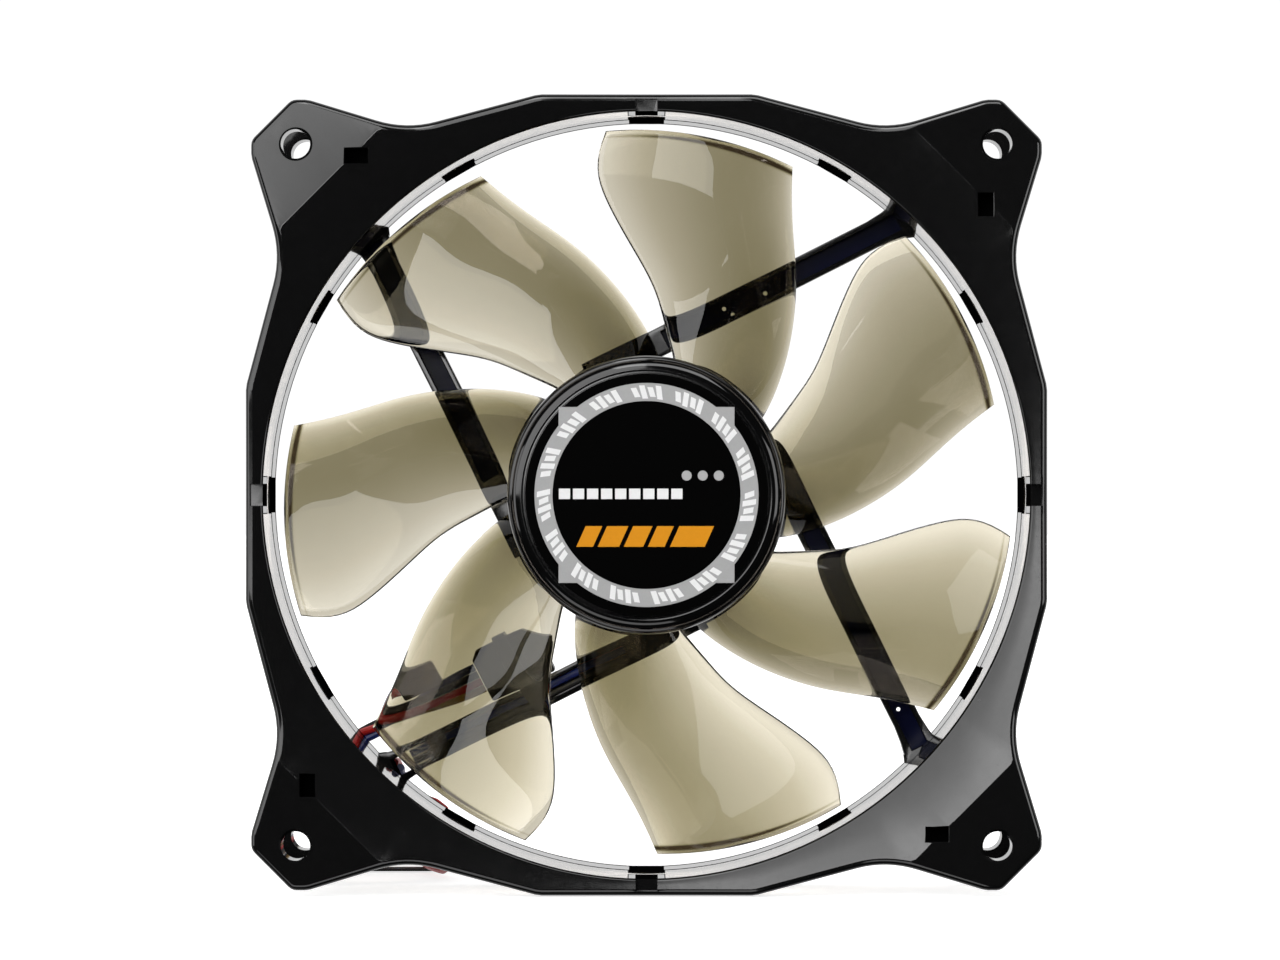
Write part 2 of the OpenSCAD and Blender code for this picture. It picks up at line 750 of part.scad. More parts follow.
front_frame();
duct_ring();
rear_frame();
impeller();
hub_cap();
hub_label();
rotor_yoke();
rotor_magnet();
rotor_shaft();
shaft_bush();
retaining_clip();
oil_washer();
bearing_sleeve();
bearing_tube();
thrust_pad();
stator_core();
front_insulator();
rear_insulator();
stator_coils();
circuit_board();
hall_sensor();
driver_chip();
capacitors();
rear_label();
strut_leads();
lead_clip();
cable_out();
cable_hank();
cable_back();
fan_plug();
speed_plug();
branch_leads();
plug_terminals();
cable_tie();
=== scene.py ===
"""Case fan: the visible pieces of a 120 mm fan with a clear duct and a smoky impeller.

Sizes inside the builders are millimetres, measured flat: X right, Y up and Z towards the intake
side, from the middle of the fan. stand() turns such a point into the frame's own place in metres.
"""

import math

import bmesh
import bpy
from bpy.props import FloatProperty, FloatVectorProperty, IntProperty, PointerProperty
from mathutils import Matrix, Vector


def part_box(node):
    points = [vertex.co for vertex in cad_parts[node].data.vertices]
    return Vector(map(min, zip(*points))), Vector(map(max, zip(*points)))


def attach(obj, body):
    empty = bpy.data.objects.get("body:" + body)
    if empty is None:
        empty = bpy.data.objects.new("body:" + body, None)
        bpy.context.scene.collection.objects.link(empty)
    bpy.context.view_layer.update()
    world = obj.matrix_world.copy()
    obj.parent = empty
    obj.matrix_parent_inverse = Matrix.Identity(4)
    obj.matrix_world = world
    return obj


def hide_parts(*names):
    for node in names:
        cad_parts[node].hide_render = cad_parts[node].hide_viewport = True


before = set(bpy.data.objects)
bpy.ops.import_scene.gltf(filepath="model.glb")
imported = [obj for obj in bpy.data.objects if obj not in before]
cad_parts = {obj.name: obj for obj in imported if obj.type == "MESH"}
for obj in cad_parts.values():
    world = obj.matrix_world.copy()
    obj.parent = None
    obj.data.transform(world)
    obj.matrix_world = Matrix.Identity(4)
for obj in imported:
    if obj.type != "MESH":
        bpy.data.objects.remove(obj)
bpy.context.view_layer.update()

bl_info = {
    "name": "Case Fan",
    "version": (1, 0, 0),
    "blender": (4, 5, 0),
    "location": "View3D > Sidebar > Case Fan",
    "description": "Builds the visible pieces of a case fan around its fixed frame",
    "category": "Object",
}

MM = 0.001
FLANGE_LOW, FLANGE_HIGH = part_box("front_frame")
REAR_LOW, REAR_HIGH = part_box("rear_frame")
CAP_LOW, CAP_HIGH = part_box("hub_cap")
MIDDLE = (FLANGE_LOW.z + FLANGE_HIGH.z) / 2


# ---- Sizes and colours that a user would change ----


def length(name, text, default):
    return FloatProperty(
        name=name, description=text, default=default, min=0, unit="LENGTH", precision=5
    )


def tint(name, text, default):
    return FloatVectorProperty(
        name=name, description=text, default=default, size=3, min=0, max=1, subtype="COLOR"
    )


class FanSizes(bpy.types.PropertyGroup):
    """Real sizes of the fan"""

    frame_width: length("Frame width", "Width and height of the frame", FLANGE_HIGH.x - FLANGE_LOW.x)
    frame_depth: length("Frame depth", "Depth between the two faces", REAR_HIGH.y - FLANGE_LOW.y)
    flange: length("Flange", "Thickness of each flange", 0.005)
    rim_wall: length("Rim wall", "Thinnest wall between bore and outside", 0.0025)
    hole_inset: length("Hole inset", "Distance of a screw hole from the edges", 0.0075)
    hole_width: length("Screw hole", "Diameter of the screw holes", 0.0044)
    edge_round: length("Edge rounding", "Radius of the frame's outer edges", 0.001)
    hub_width: length("Hub", "Diameter of the hub cap", CAP_HIGH.x - CAP_LOW.x)
    tip_gap: length("Tip gap", "Gap between blade tips and bore", 0.0022)
    blade_thick: length("Blade thickness", "Thickness in the middle of a blade", 0.0014)
    blade_count: IntProperty(name="Blades", description="Number of blades", default=7, min=3, max=11)
    strut_width: length("Strut width", "Width of a strut", 0.0043)
    strut_height: length("Strut height", "Height of a strut", 0.0034)
    wire: length("Wire", "Diameter of one wire with its insulation", 0.0012)
    cable: length("Cable", "Diameter of the bundle of four wires", 0.0028)


class FanColours(bpy.types.PropertyGroup):
    """Colours of the fan's finishes"""

    black: tint("Black plastic", "Moulded frame, plugs and clips", (0.0035, 0.0035, 0.0036))
    cap: tint("Cap", "Hub cap and label ground", (0.0016, 0.0016, 0.0017))
    # The three smoke colours are stops on the blade's depth ramp, which also carries painted shade: the
    # slant and tip-line darkening of the blades.
    smoke_light: tint("Thin smoke", "Blade where it is thin", (0.68, 0.635, 0.525))
    smoke: tint("Smoke", "Blade in its middle", (0.41, 0.37, 0.265))
    smoke_deep: tint("Thick smoke", "Blade where it is thickest", (0.20, 0.175, 0.095))
    clear: tint("Clear plastic", "Duct ring", (0.88, 0.79, 0.70))
    silver: tint("Silver print", "Ring and corners of the label", (0.39, 0.39, 0.39))
    orange: tint("Orange print", "Bar on the label", (0.70, 0.27, 0.0))
    red: tint("Red wire", "Insulation", (0.62, 0.012, 0.01))
    blue: tint("Blue wire", "Insulation", (0.008, 0.022, 0.17))
    yellow: tint("Yellow wire", "Insulation", (0.45, 0.26, 0.012))
    wire_black: tint("Black wire", "Insulation", (0.008, 0.008, 0.009))


class StageSettings(bpy.types.PropertyGroup):
    """Camera and light"""

    distance: length("Camera distance", "From the intake face to the camera", 0.66)
    view_width: length("View width", "Width of the view at the intake face", 0.1912)
    key: FloatProperty(name="Key", description="Radiance of the key softbox", default=7.0, min=0)
    side: FloatProperty(name="Sides", description="Radiance of the side softboxes", default=3.4, min=0)
    backdrop: FloatProperty(name="Backdrop", description="Light from behind", default=0.9, min=0)


class Plan:
    """The fan's sizes and places in millimetres, worked out from the sizes above."""

    def __init__(self, sizes):
        def mm(value):
            return value / MM

        self.half_w = mm(sizes.frame_width) / 2
        self.front_z = mm(sizes.frame_depth) / 2
        self.rear_z = -self.front_z
        self.flange = mm(sizes.flange)
        self.bore_r = self.half_w - mm(sizes.rim_wall)
        self.hole_c = self.half_w - mm(sizes.hole_inset)
        self.hole_r = mm(sizes.hole_width) / 2
        self.edge = mm(sizes.edge_round)
        # outline
        self.side_flat = 16.2
        self.side_dip = 5.3
        self.dip_round = 16
        self.ear_round = 1.8
        self.ear_reach = self.half_w - 0.8
        self.crease = self.hole_c + 14.5
        self.ear_tilt = 2.5
        self.funnel_drop = 0.9
        self.rib = 0.08
        # clear ring, collar and clips
        self.ring_in = self.bore_r + 0.05
        self.ring_out = self.ring_in + 1.3
        self.collar_out = self.half_w - 0.4
        self.ring_low = self.rear_z + self.flange + 3
        self.ring_mid = self.front_z - self.flange
        self.ring_top = self.front_z - 2.3
        self.clip_w = 5.4
        self.clip_rise = 5
        self.notch_w = 3.3
        self.notch_deep = 1.8
        # struts and motor base
        self.strut_w = mm(sizes.strut_width)
        self.strut_h = mm(sizes.strut_height)
        self.strut_off = mm(sizes.hub_width) / 2 - 0.75
        self.strut_slant = 26.8
        self.strut_end = math.sqrt((self.bore_r + 1.3) ** 2 - self.strut_off**2)
        self.strut_wall = 0.8
        self.channel_w = self.strut_w - 2 * self.strut_wall
        self.base_r = mm(sizes.hub_width) / 2 + 0.6
        self.floor_z = self.rear_z + 1.7
        self.base_top = self.rear_z + 3.2
        self.label_r = mm(sizes.hub_width) / 2 - 2.9
        # rotor
        self.cap_r = mm(sizes.hub_width) / 2
        self.cap_top = self.front_z - 0.5
        self.hub_r = self.cap_r - 0.5
        self.hub_wall = 1.4
        self.hub_top = self.cap_top - 1.8
        self.hub_shoulder = self.cap_top - 3.75
        self.hub_low = self.rear_z + 4.1
        self.blade_t = mm(sizes.blade_thick)
        self.blade_r0 = self.hub_r - self.hub_wall / 2
        self.blade_r1 = self.bore_r - mm(sizes.tip_gap)
        self.blade_count = sizes.blade_count
        # wires and plugs
        self.wire = mm(sizes.wire)
        self.cable = mm(sizes.cable)
        self.lead_strut = 2
        self.plug_s = 30.1
        self.plug_size = (10.6, 8.2, 6)
        self.plug_n = self.strut_off - self.strut_w / 2 - self.plug_size[1] / 2 - 0.1
        self.plug_z = self.rear_z - 1.7
        self.speed_s = 44.2
        self.speed_n = 10.2
        self.speed_size = (6.4, 3.9, 4)


# ---- Geometry ----


def stand(p):
    """A flat point in millimetres as a point of the standing fan in metres."""
    return Vector((p[0] * MM, -p[2] * MM, p[1] * MM + MIDDLE))


def lie(p):
    """A point of the standing fan in millimetres as a flat point in millimetres."""
    return (p[0], p[2] - MIDDLE / MM, -p[1])


def turned(p, degrees):
    c, s = math.cos(math.radians(degrees)), math.sin(math.radians(degrees))
    return (p[0] * c - p[1] * s, p[0] * s + p[1] * c, *p[2:])


def along(values, t):
    """The smooth curve through all the values, numbers or points, at a share t of its length."""
    last = len(values) - 1
    at = min(max(t, 0), 1) * last
    i = min(int(at), last - 1)
    t = at - i
    a, b, c, d = (values[min(max(i + k, 0), last)] for k in (-1, 0, 1, 2))
    if isinstance(b, (int, float)):
        return (
            2 * b + (c - a) * t + (2 * a - 5 * b + 4 * c - d) * t * t
            + (3 * b - a - 3 * c + d) * t**3
        ) / 2
    return tuple(along([a[k], b[k], c[k], d[k]], (1 + t) / 3) for k in range(len(b)))


def round_corner(a, b, c, radius, steps):
    """The corner at b between a and c, rounded."""
    a, b, c = Vector(a), Vector(b), Vector(c)
    u, v = (a - b).normalized(), (c - b).normalized()
    half = u.angle(v) / 2
    mid = b + (u + v).normalized() * radius / math.sin(half)
    start = b + u * radius / math.tan(half) - mid
    end = b + v * radius / math.tan(half) - mid
    a0 = math.atan2(start.y, start.x)
    turn = (math.atan2(end.y, end.x) - a0 + 3 * math.pi) % (2 * math.pi) - math.pi
    angles = [a0 + turn * k / steps for k in range(steps + 1)]
    return [(mid.x + radius * math.cos(a), mid.y + radius * math.sin(a)) for a in angles]


def rounded(corners, radius, steps):
    """A closed outline with every corner rounded."""
    out = []
    for k, p in enumerate(corners):
        out += round_corner(corners[k - 1], p, corners[(k + 1) % len(corners)], radius, steps)
    return out


def oblong(low, high):
    """The outline of a rectangle from its lowest to its highest corner."""
    return [(low[0], low[1]), (high[0], low[1]), (high[0], high[1]), (low[0], high[1])]


def spaced(points, gap):
    """A closed outline with points added so that none lie further apart than gap."""
    out = []
    for k, p in enumerate(points):
        q = points[(k + 1) % len(points)]
        count = max(1, math.ceil(math.dist(p, q) / gap))
        out += [tuple(p[i] + (q[i] - p[i]) * n / count for i in (0, 1)) for n in range(count)]
    return out


def inset(points, distance):
    """A closed outline, anticlockwise, moved inwards by a distance."""
    out = []
    for k, p in enumerate(points):
        a, b = Vector(points[k - 1]), Vector(points[(k + 1) % len(points)])
        u, v = (Vector(p) - a).normalized(), (b - Vector(p)).normalized()
        m, n = Vector((-u.y, u.x)), Vector((-v.y, v.x))
        middle = (m + n).normalized()
        move = middle * distance / max(middle.dot(n), 0.5)
        out.append((p[0] + move.x, p[1] + move.y))
    return out


def frame_outline(plan):
    """The flange's outline, anticlockwise from the right side's flat."""
    w, c = plan.half_w, plan.hole_c
    dip, shoulder, corner = c - 16.5, c - 1.8, c + 0.6
    corners = [
        (w, plan.side_flat), (w - plan.side_dip, dip), (plan.ear_reach, shoulder),
        (plan.ear_reach, corner), (corner, plan.ear_reach), (shoulder, plan.ear_reach),
        (dip, w - plan.side_dip), (plan.side_flat, w),
    ]
    radii = [4, plan.dip_round, 3, plan.ear_round, plan.ear_round, 3, plan.dip_round, 4]
    steps = [1, 8, 1, 3, 3, 1, 8, 1]
    quarter = []
    for k, p in enumerate(corners):
        before = corners[k - 1] if k else (w, -plan.side_flat)
        after = corners[k + 1] if k < 7 else (-plan.side_flat, w)
        quarter += round_corner(before, p, after, radii[k], steps[k])
    points = [turned(p, 90 * q) for q in range(4) for p in quarter]
    return spaced(points, 2.2)


def loft(rings, loop=False):
    """Points and faces of a skin over rings of equal length, closed at its ends unless it loops."""
    count = len(rings[0])
    points = [p for ring in rings for p in ring]
    faces = []
    for i in range(len(rings) - (0 if loop else 1)):
        a, b = i * count, (i + 1) % len(rings) * count
        for k in range(count):
            n = (k + 1) % count
            faces.append((a + k, a + n, b + n, b + k))
    if not loop:
        faces.append(tuple(reversed(range(count))))
        faces.append(tuple((len(rings) - 1) * count + k for k in range(count)))
    return points, faces


def revolve(profile, steps=160, middle=(0, 0)):
    """A closed profile of (radius, z) turned round the axis."""
    rings = [
        [(*[m + c for m, c in zip(middle, turned((r, 0), 360 * k / steps))], z) for r, z in profile]
        for k in range(steps)
    ]
    return loft(rings, loop=True)


def disc_shell(radius, low, high, steps=180, middle=(0, 0)):
    """A plain cylinder."""
    return revolve([(0, low), (radius, low), (radius, high), (0, high)], steps, middle)


def block(low, high, bevel=0.15, turn=0):
    """A box with rounded edges, from its lowest to its highest corner, turned round the axis."""
    return prism(oblong(low, high), low[2], high[2], bevel, turn)


def prism(outline, low, high, bevel=0.15, turn=0):
    """An upright slab with this anticlockwise outline, and its edges rounded."""
    reach = bevel * 0.29
    loops = [
        (bevel, low), (reach, low + reach), (0, low + bevel),
        (0, high - bevel), (reach, high - reach), (bevel, high),
    ]
    soft = rounded(outline, bevel * 1.2, 3)
    return loft([[(*turned(p, turn), z) for p in inset(soft, move)] for move, z in loops])


def rib(wall, across, turn):
    """A rib: its outline of (radius, z) stands at each of the places across, turned round the axis."""
    return loft([[(*turned((r, y), turn), z) for r, z in wall] for y in across])


def frames_along(path):
    """Two directions across a path at each of its points, carried along it without twist."""
    points = [Vector(p) for p in path]
    side = None
    out = []
    for k, p in enumerate(points):
        forward = (points[min(k + 1, len(points) - 1)] - points[max(k - 1, 0)]).normalized()
        if side is None:
            side = forward.orthogonal()
        side = (side - forward * side.dot(forward)).normalized()
        out.append((side, forward.cross(side)))
    return out


def tube(path, radius, sides=12):
    """A round tube along a path, closed at both ends."""
    rings = []
    for p, (u, v) in zip(path, frames_along(path)):
        turns = [2 * math.pi * k / sides for k in range(sides)]
        rings.append([tuple(Vector(p) + radius * (u * math.cos(a) + v * math.sin(a))) for a in turns])
    return loft(rings)


def new_object(name, shells):
    """An object of one mesh that holds closed shells, each with its faces outwards."""
    mesh = bpy.data.meshes.new(name)
    points, faces = [], []
    for some_points, some_faces in shells:
        faces += [tuple(i + len(points) for i in face) for face in some_faces]
        points += [stand(p) for p in some_points]
    mesh.from_pydata(points, [], faces)
    work = bmesh.new()
    work.from_mesh(mesh)
    bmesh.ops.remove_doubles(work, verts=work.verts, dist=1e-7)
    bmesh.ops.recalc_face_normals(work, faces=work.faces)
    work.to_mesh(mesh)
    work.free()
    obj = bpy.data.objects.new(name, mesh)
    bpy.context.scene.collection.objects.link(obj)
    return obj


def mark_depth_and_shade(obj, values):
    """Notes at each point how much plastic lies there in the way of the light; on the blades this also holds
    painted shade.
    """
    attribute = obj.data.attributes.new("depth", "FLOAT", "POINT")
    attribute.data.foreach_set("value", values)


def combine(obj, shells, operation="DIFFERENCE", depth=None):
    """Adds shells to an object's solid or cuts them out of it."""
    tool = new_object("tool", shells)
    if depth is not None:
        mark_depth_and_shade(tool, [depth] * len(tool.data.vertices))
    modifier = obj.modifiers.new("combine", "BOOLEAN")
    modifier.object = tool
    modifier.operation = operation
    modifier.solver = "MANIFOLD"
    graph = bpy.context.evaluated_depsgraph_get()
    mesh = bpy.data.meshes.new_from_object(obj.evaluated_get(graph))
    obj.modifiers.clear()
    old, obj.data = obj.data, mesh
    bpy.data.meshes.remove(old)
    bpy.data.objects.remove(tool)
    if not len(mesh.polygons):
        raise RuntimeError(f"nothing is left of {obj.name} after {operation}")


def dress(obj, *materials, sharp=32, even=True):
    """Gives a piece its materials and its smooth and sharp edges."""
    obj.data.materials.clear()
    for material in materials:
        obj.data.materials.append(material)
    obj.data.shade_smooth()
    obj.data.set_sharp_from_angle(angle=math.radians(sharp))
    if even:
        normals = obj.modifiers.new("even faces", "WEIGHTED_NORMAL")
        normals.keep_sharp = True
        normals.weight = 60
    return obj


def paint_shells(obj, count):
    """Gives each of an object's equal shells the next of its materials."""
    share = len(obj.data.polygons) // count
    for polygon in obj.data.polygons:
        polygon.material_index = min(polygon.index // share, count - 1)


def settle(obj, body, slot, *nodes):
    """Seats a piece on its body and hides the CAD nodes that it stands for."""
    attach(obj, body)
    if nodes:
        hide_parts(*nodes)
    return obj


# ---- Materials ----


class Number:
    """A number from a node. Sums on it add Math nodes."""

    def __init__(self, shader, socket):
        self.shader = shader
        self.socket = socket

    def math(self, operation, *values):
        inputs = dict(enumerate(values))
        return self.shader.node("Math", {"operation": operation}, inputs)

    def __add__(self, other):
        return self.math("ADD", self, other)

    def __sub__(self, other):
        return self.math("SUBTRACT", self, other)

    def __rsub__(self, other):
        return self.math("SUBTRACT", other, self)

    def __mul__(self, other):
        return self.math("MULTIPLY", self, other)

    def __gt__(self, other):
        return self.math("GREATER_THAN", self, other)

    def __lt__(self, other):
        return self.math("LESS_THAN", self, other)

    __radd__ = __add__
    __rmul__ = __mul__

    def sine(self):
        return self.math("SINE", self)

    def step(self, low, high):
        """0 below low, 1 above high, and smooth between them."""
        values = {"Value": self, "From Min": low, "From Max": high}
        return self.shader.node("MapRange", {"interpolation_type": "SMOOTHSTEP"}, values)


class Shader:
    """The nodes of one material or world."""

    def __init__(self, owner):
        owner.use_nodes = True
        self.tree = owner.node_tree
        self.tree.nodes.clear()

    def node(self, kind, settings=None, inputs=None, output=0):
        made = self.tree.nodes.new("ShaderNode" + kind)
        for key, value in (settings or {}).items():
            if key == "stops":
                while len(made.color_ramp.elements) < len(value):
                    made.color_ramp.elements.new(0.5)
                for stop, (place, colour) in zip(made.color_ramp.elements, value):
                    stop.position = place
                    stop.color = (*colour, 1)
            else:
                setattr(made, key, value)
        for key, value in (inputs or {}).items():
            self.put(made.inputs[key], value)
        return Number(self, made.outputs[output]) if made.outputs else None

    def put(self, socket, value):
        if isinstance(value, Number):
            self.tree.links.new(value.socket, socket)
        elif isinstance(value, (tuple, list)) and socket.type == "RGBA":
            socket.default_value = (*value[:3], 1)
        else:
            socket.default_value = value

    def place(self):
        return self.node("TexCoord", output="Object")

    def noise(self, scale, detail=2.0, rough=0.5):
        values = {"Vector": self.place(), "Scale": scale, "Detail": detail, "Roughness": rough}
        return self.node("TexNoise", None, values)

    def cells(self, scale, feature="F1"):
        return self.node("TexVoronoi", {"feature": feature}, {"Vector": self.place(), "Scale": scale})

    def blend(self, share, a, b):
        """The colour between a and b."""
        values = {"Factor": share, 6: a, 7: b}
        return self.node("Mix", {"data_type": "RGBA"}, values, output=2)

    def bump(self, height, distance, strength=1.0):
        values = {"Height": height, "Distance": distance, "Strength": strength}
        return self.node("Bump", None, values)


def finish(name, build, **constants):
    """A material whose surface shader has these constants and what build returns for it."""
    material = bpy.data.materials.new(name)
    shader = Shader(material)
    surface = shader.node("BsdfPrincipled")
    sockets = surface.socket.node.inputs
    for key, value in constants.items():
        shader.put(sockets[key.replace("_", " ").title().replace("Ior", "IOR")], value)
    for key, value in build(shader).items():
        shader.put(sockets[key], value)
    shader.node("OutputMaterial", None, {"Surface": surface})
    return material


def moulded(name, colour, rough=0.05, dusty=0.5, grain=0.000007, shine=0.5):
    """Glossy moulded plastic: faint flow mottle, fine scuffs and a few specks of dust."""

    def build(s):
        mottle = s.noise(700, 3)
        flow = s.noise(90, 2)
        speck = (s.cells(420) < 0.07) * (s.noise(160, 0) > 0.66) * dusty
        scuff = s.noise(2600, 4, 0.7)
        worn = s.blend(mottle * 0.5, colour, tuple(c * 1.6 + 0.0006 for c in colour))
        height = mottle * 0.6 + flow * 1.2 + scuff * 0.1
        return {
            "Base Color": s.blend(speck, worn, (0.12, 0.12, 0.125)),
            "Roughness": rough + mottle * 0.05 + speck * 0.3 + (scuff > 0.62) * 0.04,
            "Normal": s.bump(height, grain, 0.2),
        }

    return finish(name, build, ior=1.5, specular_ior_level=shine)


def smoke_plastic(colours):
    """See-through plastic, darker where it is thick and where shade is painted. The mesh says how thick and
    where the painted shade lies.
    """

    def build(s):
        # The depth attribute holds thickness and, on the blades, painted shade; the ramp turns both into
        # darker smoke.
        depth = s.node("Attribute", {"attribute_name": "depth"}, output="Fac")
        drift = s.noise(60, 2) * 0.06 + depth
        stops = [
            (0.0, (0.9, 0.87, 0.8)), (0.12, tuple(colours.smoke_light)), (0.42, tuple(colours.smoke)),
            (0.72, tuple(colours.smoke_deep)), (1.0, (0.035, 0.024, 0.012)),
        ]
        tint_here = s.node("ValToRGB", {"stops": stops}, {"Fac": drift - 0.03})
        return {
            "Base Color": tint_here,
            "Roughness": s.noise(500, 2) * 0.01,
            "Normal": s.bump(s.noise(120, 1), 0.000008, 0.15),
        }

    return finish("smoke plastic", build, transmission_weight=1.0, ior=1.46)


def clear_plastic(colours):
    """Clear plastic with faint moulding ripples."""

    def build(s):
        ripple = s.noise(300, 2)
        return {
            "Base Color": s.blend(ripple, tuple(colours.clear), (0.78, 0.69, 0.60)),
            "Roughness": 0.02 + ripple * 0.05,
            "Normal": s.bump(ripple, 0.00004, 0.4),
        }

    return finish("clear plastic", build, transmission_weight=1.0, ior=1.46)


def printed(name, colour, rough=0.45, shine=0.3):
    """Ink or film of a label, with fine print grain."""

    def build(s):
        grain = s.noise(3500, 2)
        return {
            "Base Color": s.blend(grain * 0.35, colour, tuple(c * 0.75 for c in colour)),
            "Roughness": rough + grain * 0.1,
            "Normal": s.bump(grain, 0.000004, 0.3),
        }

    return finish(name, build, ior=1.45, specular_ior_level=shine)


def insulation(name, colour):
    """Soft wire insulation, a little uneven in colour and gloss."""

    def build(s):
        uneven = s.noise(420, 3)
        return {
            "Base Color": s.blend(uneven * 0.4, colour, tuple(c * 0.6 for c in colour)),
            "Roughness": 0.32 + uneven * 0.16,
            "Normal": s.bump(uneven, 0.00002, 0.3),
        }

    return finish(name, build, ior=1.5)


def metal(name, colour, rough=0.3, line=0.0, rust=None):
    """Turned or stamped metal: fine lines across its axis, stains and soft wear."""

    def build(s):
        stain = s.noise(260, 3)
        axis = s.node("SeparateXYZ", None, {"Vector": s.place()}, output="Y")
        lines = (axis * (2 * math.pi / line)).sine() if line else s.noise(2400, 3)
        dull = rust or tuple(c * 0.55 for c in colour)
        return {
            "Base Color": s.blend(stain.step(0.35, 0.75) * 0.6, colour, dull),
            "Roughness": rough + stain * 0.14,
            "Metallic": 1 - stain.step(0.6, 0.9) * 0.3,
            "Normal": s.bump(lines * 0.5 + stain * 0.3, 0.00002, 0.5),
        }

    return finish(name, build)


def ceramic(name, colour, rough=0.5, spots=0.0, other=None, shine=0.5):
    """Dull moulded or pressed material with grain, and pads or traces where spots is set."""

    def build(s):
        grain = s.noise(900, 4)
        base = s.blend(grain * 0.5, colour, tuple(c * 0.6 for c in colour))
        if spots:
            trace = s.cells(spots, "DISTANCE_TO_EDGE") < 0.06
            base = s.blend(trace * 0.8, base, other)
        return {
            "Base Color": base,
            "Roughness": rough + grain * 0.15,
            "Normal": s.bump(grain, 0.00002, 0.4),
        }

    return finish(name, build, ior=1.5, specular_ior_level=shine)


def winding(name, colour):
    """Enamelled copper wire, wound in close rows."""

    def build(s):
        axis = s.node("SeparateXYZ", None, {"Vector": s.place()}, output="Y")
        rows = (axis * (2 * math.pi / 0.00032)).sine()
        stain = s.noise(300, 2)
        return {
            "Base Color": s.blend(stain * 0.6, colour, tuple(c * 0.5 for c in colour)),
            "Roughness": 0.28 + stain * 0.12,
            "Normal": s.bump(rows, 0.00012, 0.8),
        }

    return finish(name, build, metallic=0.85, coat_weight=0.4)


# ---- Stage ----


def softbox(name, place, target, size, radiance):
    """A flat rectangular light with this radiance, at a place in metres and aimed at a target."""
    light = bpy.data.lights.new(name, "AREA")
    light.shape = "RECTANGLE"
    light.size, light.size_y = size
    light.energy = radiance * size[0] * size[1] * math.pi
    obj = bpy.data.objects.new(name, light)
    bpy.context.scene.collection.objects.link(obj)
    obj.location = place
    obj.rotation_euler = (Vector(target) - Vector(place)).to_track_quat("-Z", "Y").to_euler()
    return obj


def build_world(settings):
    """White behind the fan. On the camera's side it is dark but for a large softbox up to the left,
    whose lower right corner is at the camera."""
    world = bpy.data.worlds.new("studio")
    bpy.context.scene.world = world
    s = Shader(world)
    axis = {"Vector": s.node("TexCoord", output="Generated")}
    x, y, z = (s.node("SeparateXYZ", None, axis, output=k) for k in "XYZ")
    camera, through = (s.node("LightPath", output=f"Is {k} Ray") for k in ("Camera", "Transmission"))
    seen = (camera + through > 0.5) * (y > 0)
    soft = y.step(-0.1, 0.45) * settings.backdrop
    away = (z - x).step(0.0, 0.4) * 0.5
    veil = ((z - x).step(0.11, 0.15) - (z - x).step(0.22, 0.32)) * 0.45
    key = (x < -0.002) * (z > 0.002) * (y < -0.5) * (1 - away - veil) * settings.key
    white = soft + seen * (1.03 - soft)
    ground = s.node("Background", None, {"Color": (1, 1, 1), "Strength": white + key + 0.02})
    s.node("OutputWorld", None, {"Surface": ground})


def build_stage(settings, plan):
    scene = bpy.context.scene
    middle = Vector((0, 0, plan.half_w * MM))
    eye = -plan.front_z * MM - settings.distance
    data = bpy.data.cameras.new("camera")
    data.sensor_width = 36
    data.lens = data.sensor_width * settings.distance / settings.view_width
    data.shift_x = -0.0051
    data.shift_y = 0.0117
    camera = bpy.data.objects.new("camera", data)
    scene.collection.objects.link(camera)
    camera.location = (0, eye, middle.z)
    camera.rotation_euler = (math.radians(90), 0, 0)
    scene.camera = camera
    scene.view_settings.view_transform = "Standard"

    build_world(settings)
    sides = [
        ("right", (0.60, -0.45, 0.13), (0.34, 0.36), 1.0),
        ("left", (-0.75, -0.22, 0.10), (0.30, 0.5), 0.8),
        ("above", (0.10, -0.36, 0.62), (0.5, 0.3), 1.3),
        ("below", (-0.15, -0.42, -0.35), (0.5, 0.22), 0.6),
    ]
    for name, spot, size, share in sides:
        light = softbox(name, spot, middle, size, settings.side * share)
        light.visible_camera = False

    floor = bpy.data.meshes.new("floor")
    reach, lift = 6, -0.0002
    floor.from_pydata(
        [(-reach, -reach, lift), (reach, -reach, lift), (reach, reach, lift), (-reach, reach, lift)],
        [], [(0, 1, 2, 3)],
    )
    ground = bpy.data.objects.new("floor", floor)
    scene.collection.objects.link(ground)
    floor.materials.append(floor_paper())
    ground.visible_glossy = False
    ground.visible_diffuse = False


def floor_paper():
    """Plain pale paper, bright enough to meet the white behind it without a line."""

    def build(s):
        return {"Base Color": s.blend(s.noise(40, 2) * 0.2, (0.86, 0.86, 0.86), (0.84, 0.84, 0.84))}

    return finish("floor paper", build, roughness=0.9, emission_color=(1, 1, 1), emission_strength=0.75)


# ---- Cable ----

OUT_ROUTE = [
    (-39, 12.6, 17.7), (-39, 15.6, 17.6), (-38.9, 18.2, 16.2), (-37.9, 19.6, 13.7),
    (-35.4, 19.9, 11.9), (-32.4, 19.9, 10.7), (-31.3, 20.1, 7.7), (-31.2, 21, 4.3),
    (-31.5, 23.6, 1.9), (-32.5, 26, 1.6),
]
BACK_ROUTE = [
    (-51.1, 22.5, 11.3), (-51, 18.8, 11.8), (-50.7, 15.9, 13.4), (-50, 14.5, 15.8),
    (-49, 14.2, 18.2), (-47.5, 14.2, 20.4), (-44.7, 14.2, 22.3), (-38.5, 14.2, 25.2),
    (-32.2, 14.2, 28.4), (-25.6, 14.2, 31.6),
]
TWIST = 55  # millimetres in which the bundle turns once round itself
PLUG_TURN = 58.7  # degrees at which the red wire comes to the plug
FLARE = 20  # millimetres over which the wires spread before the plug
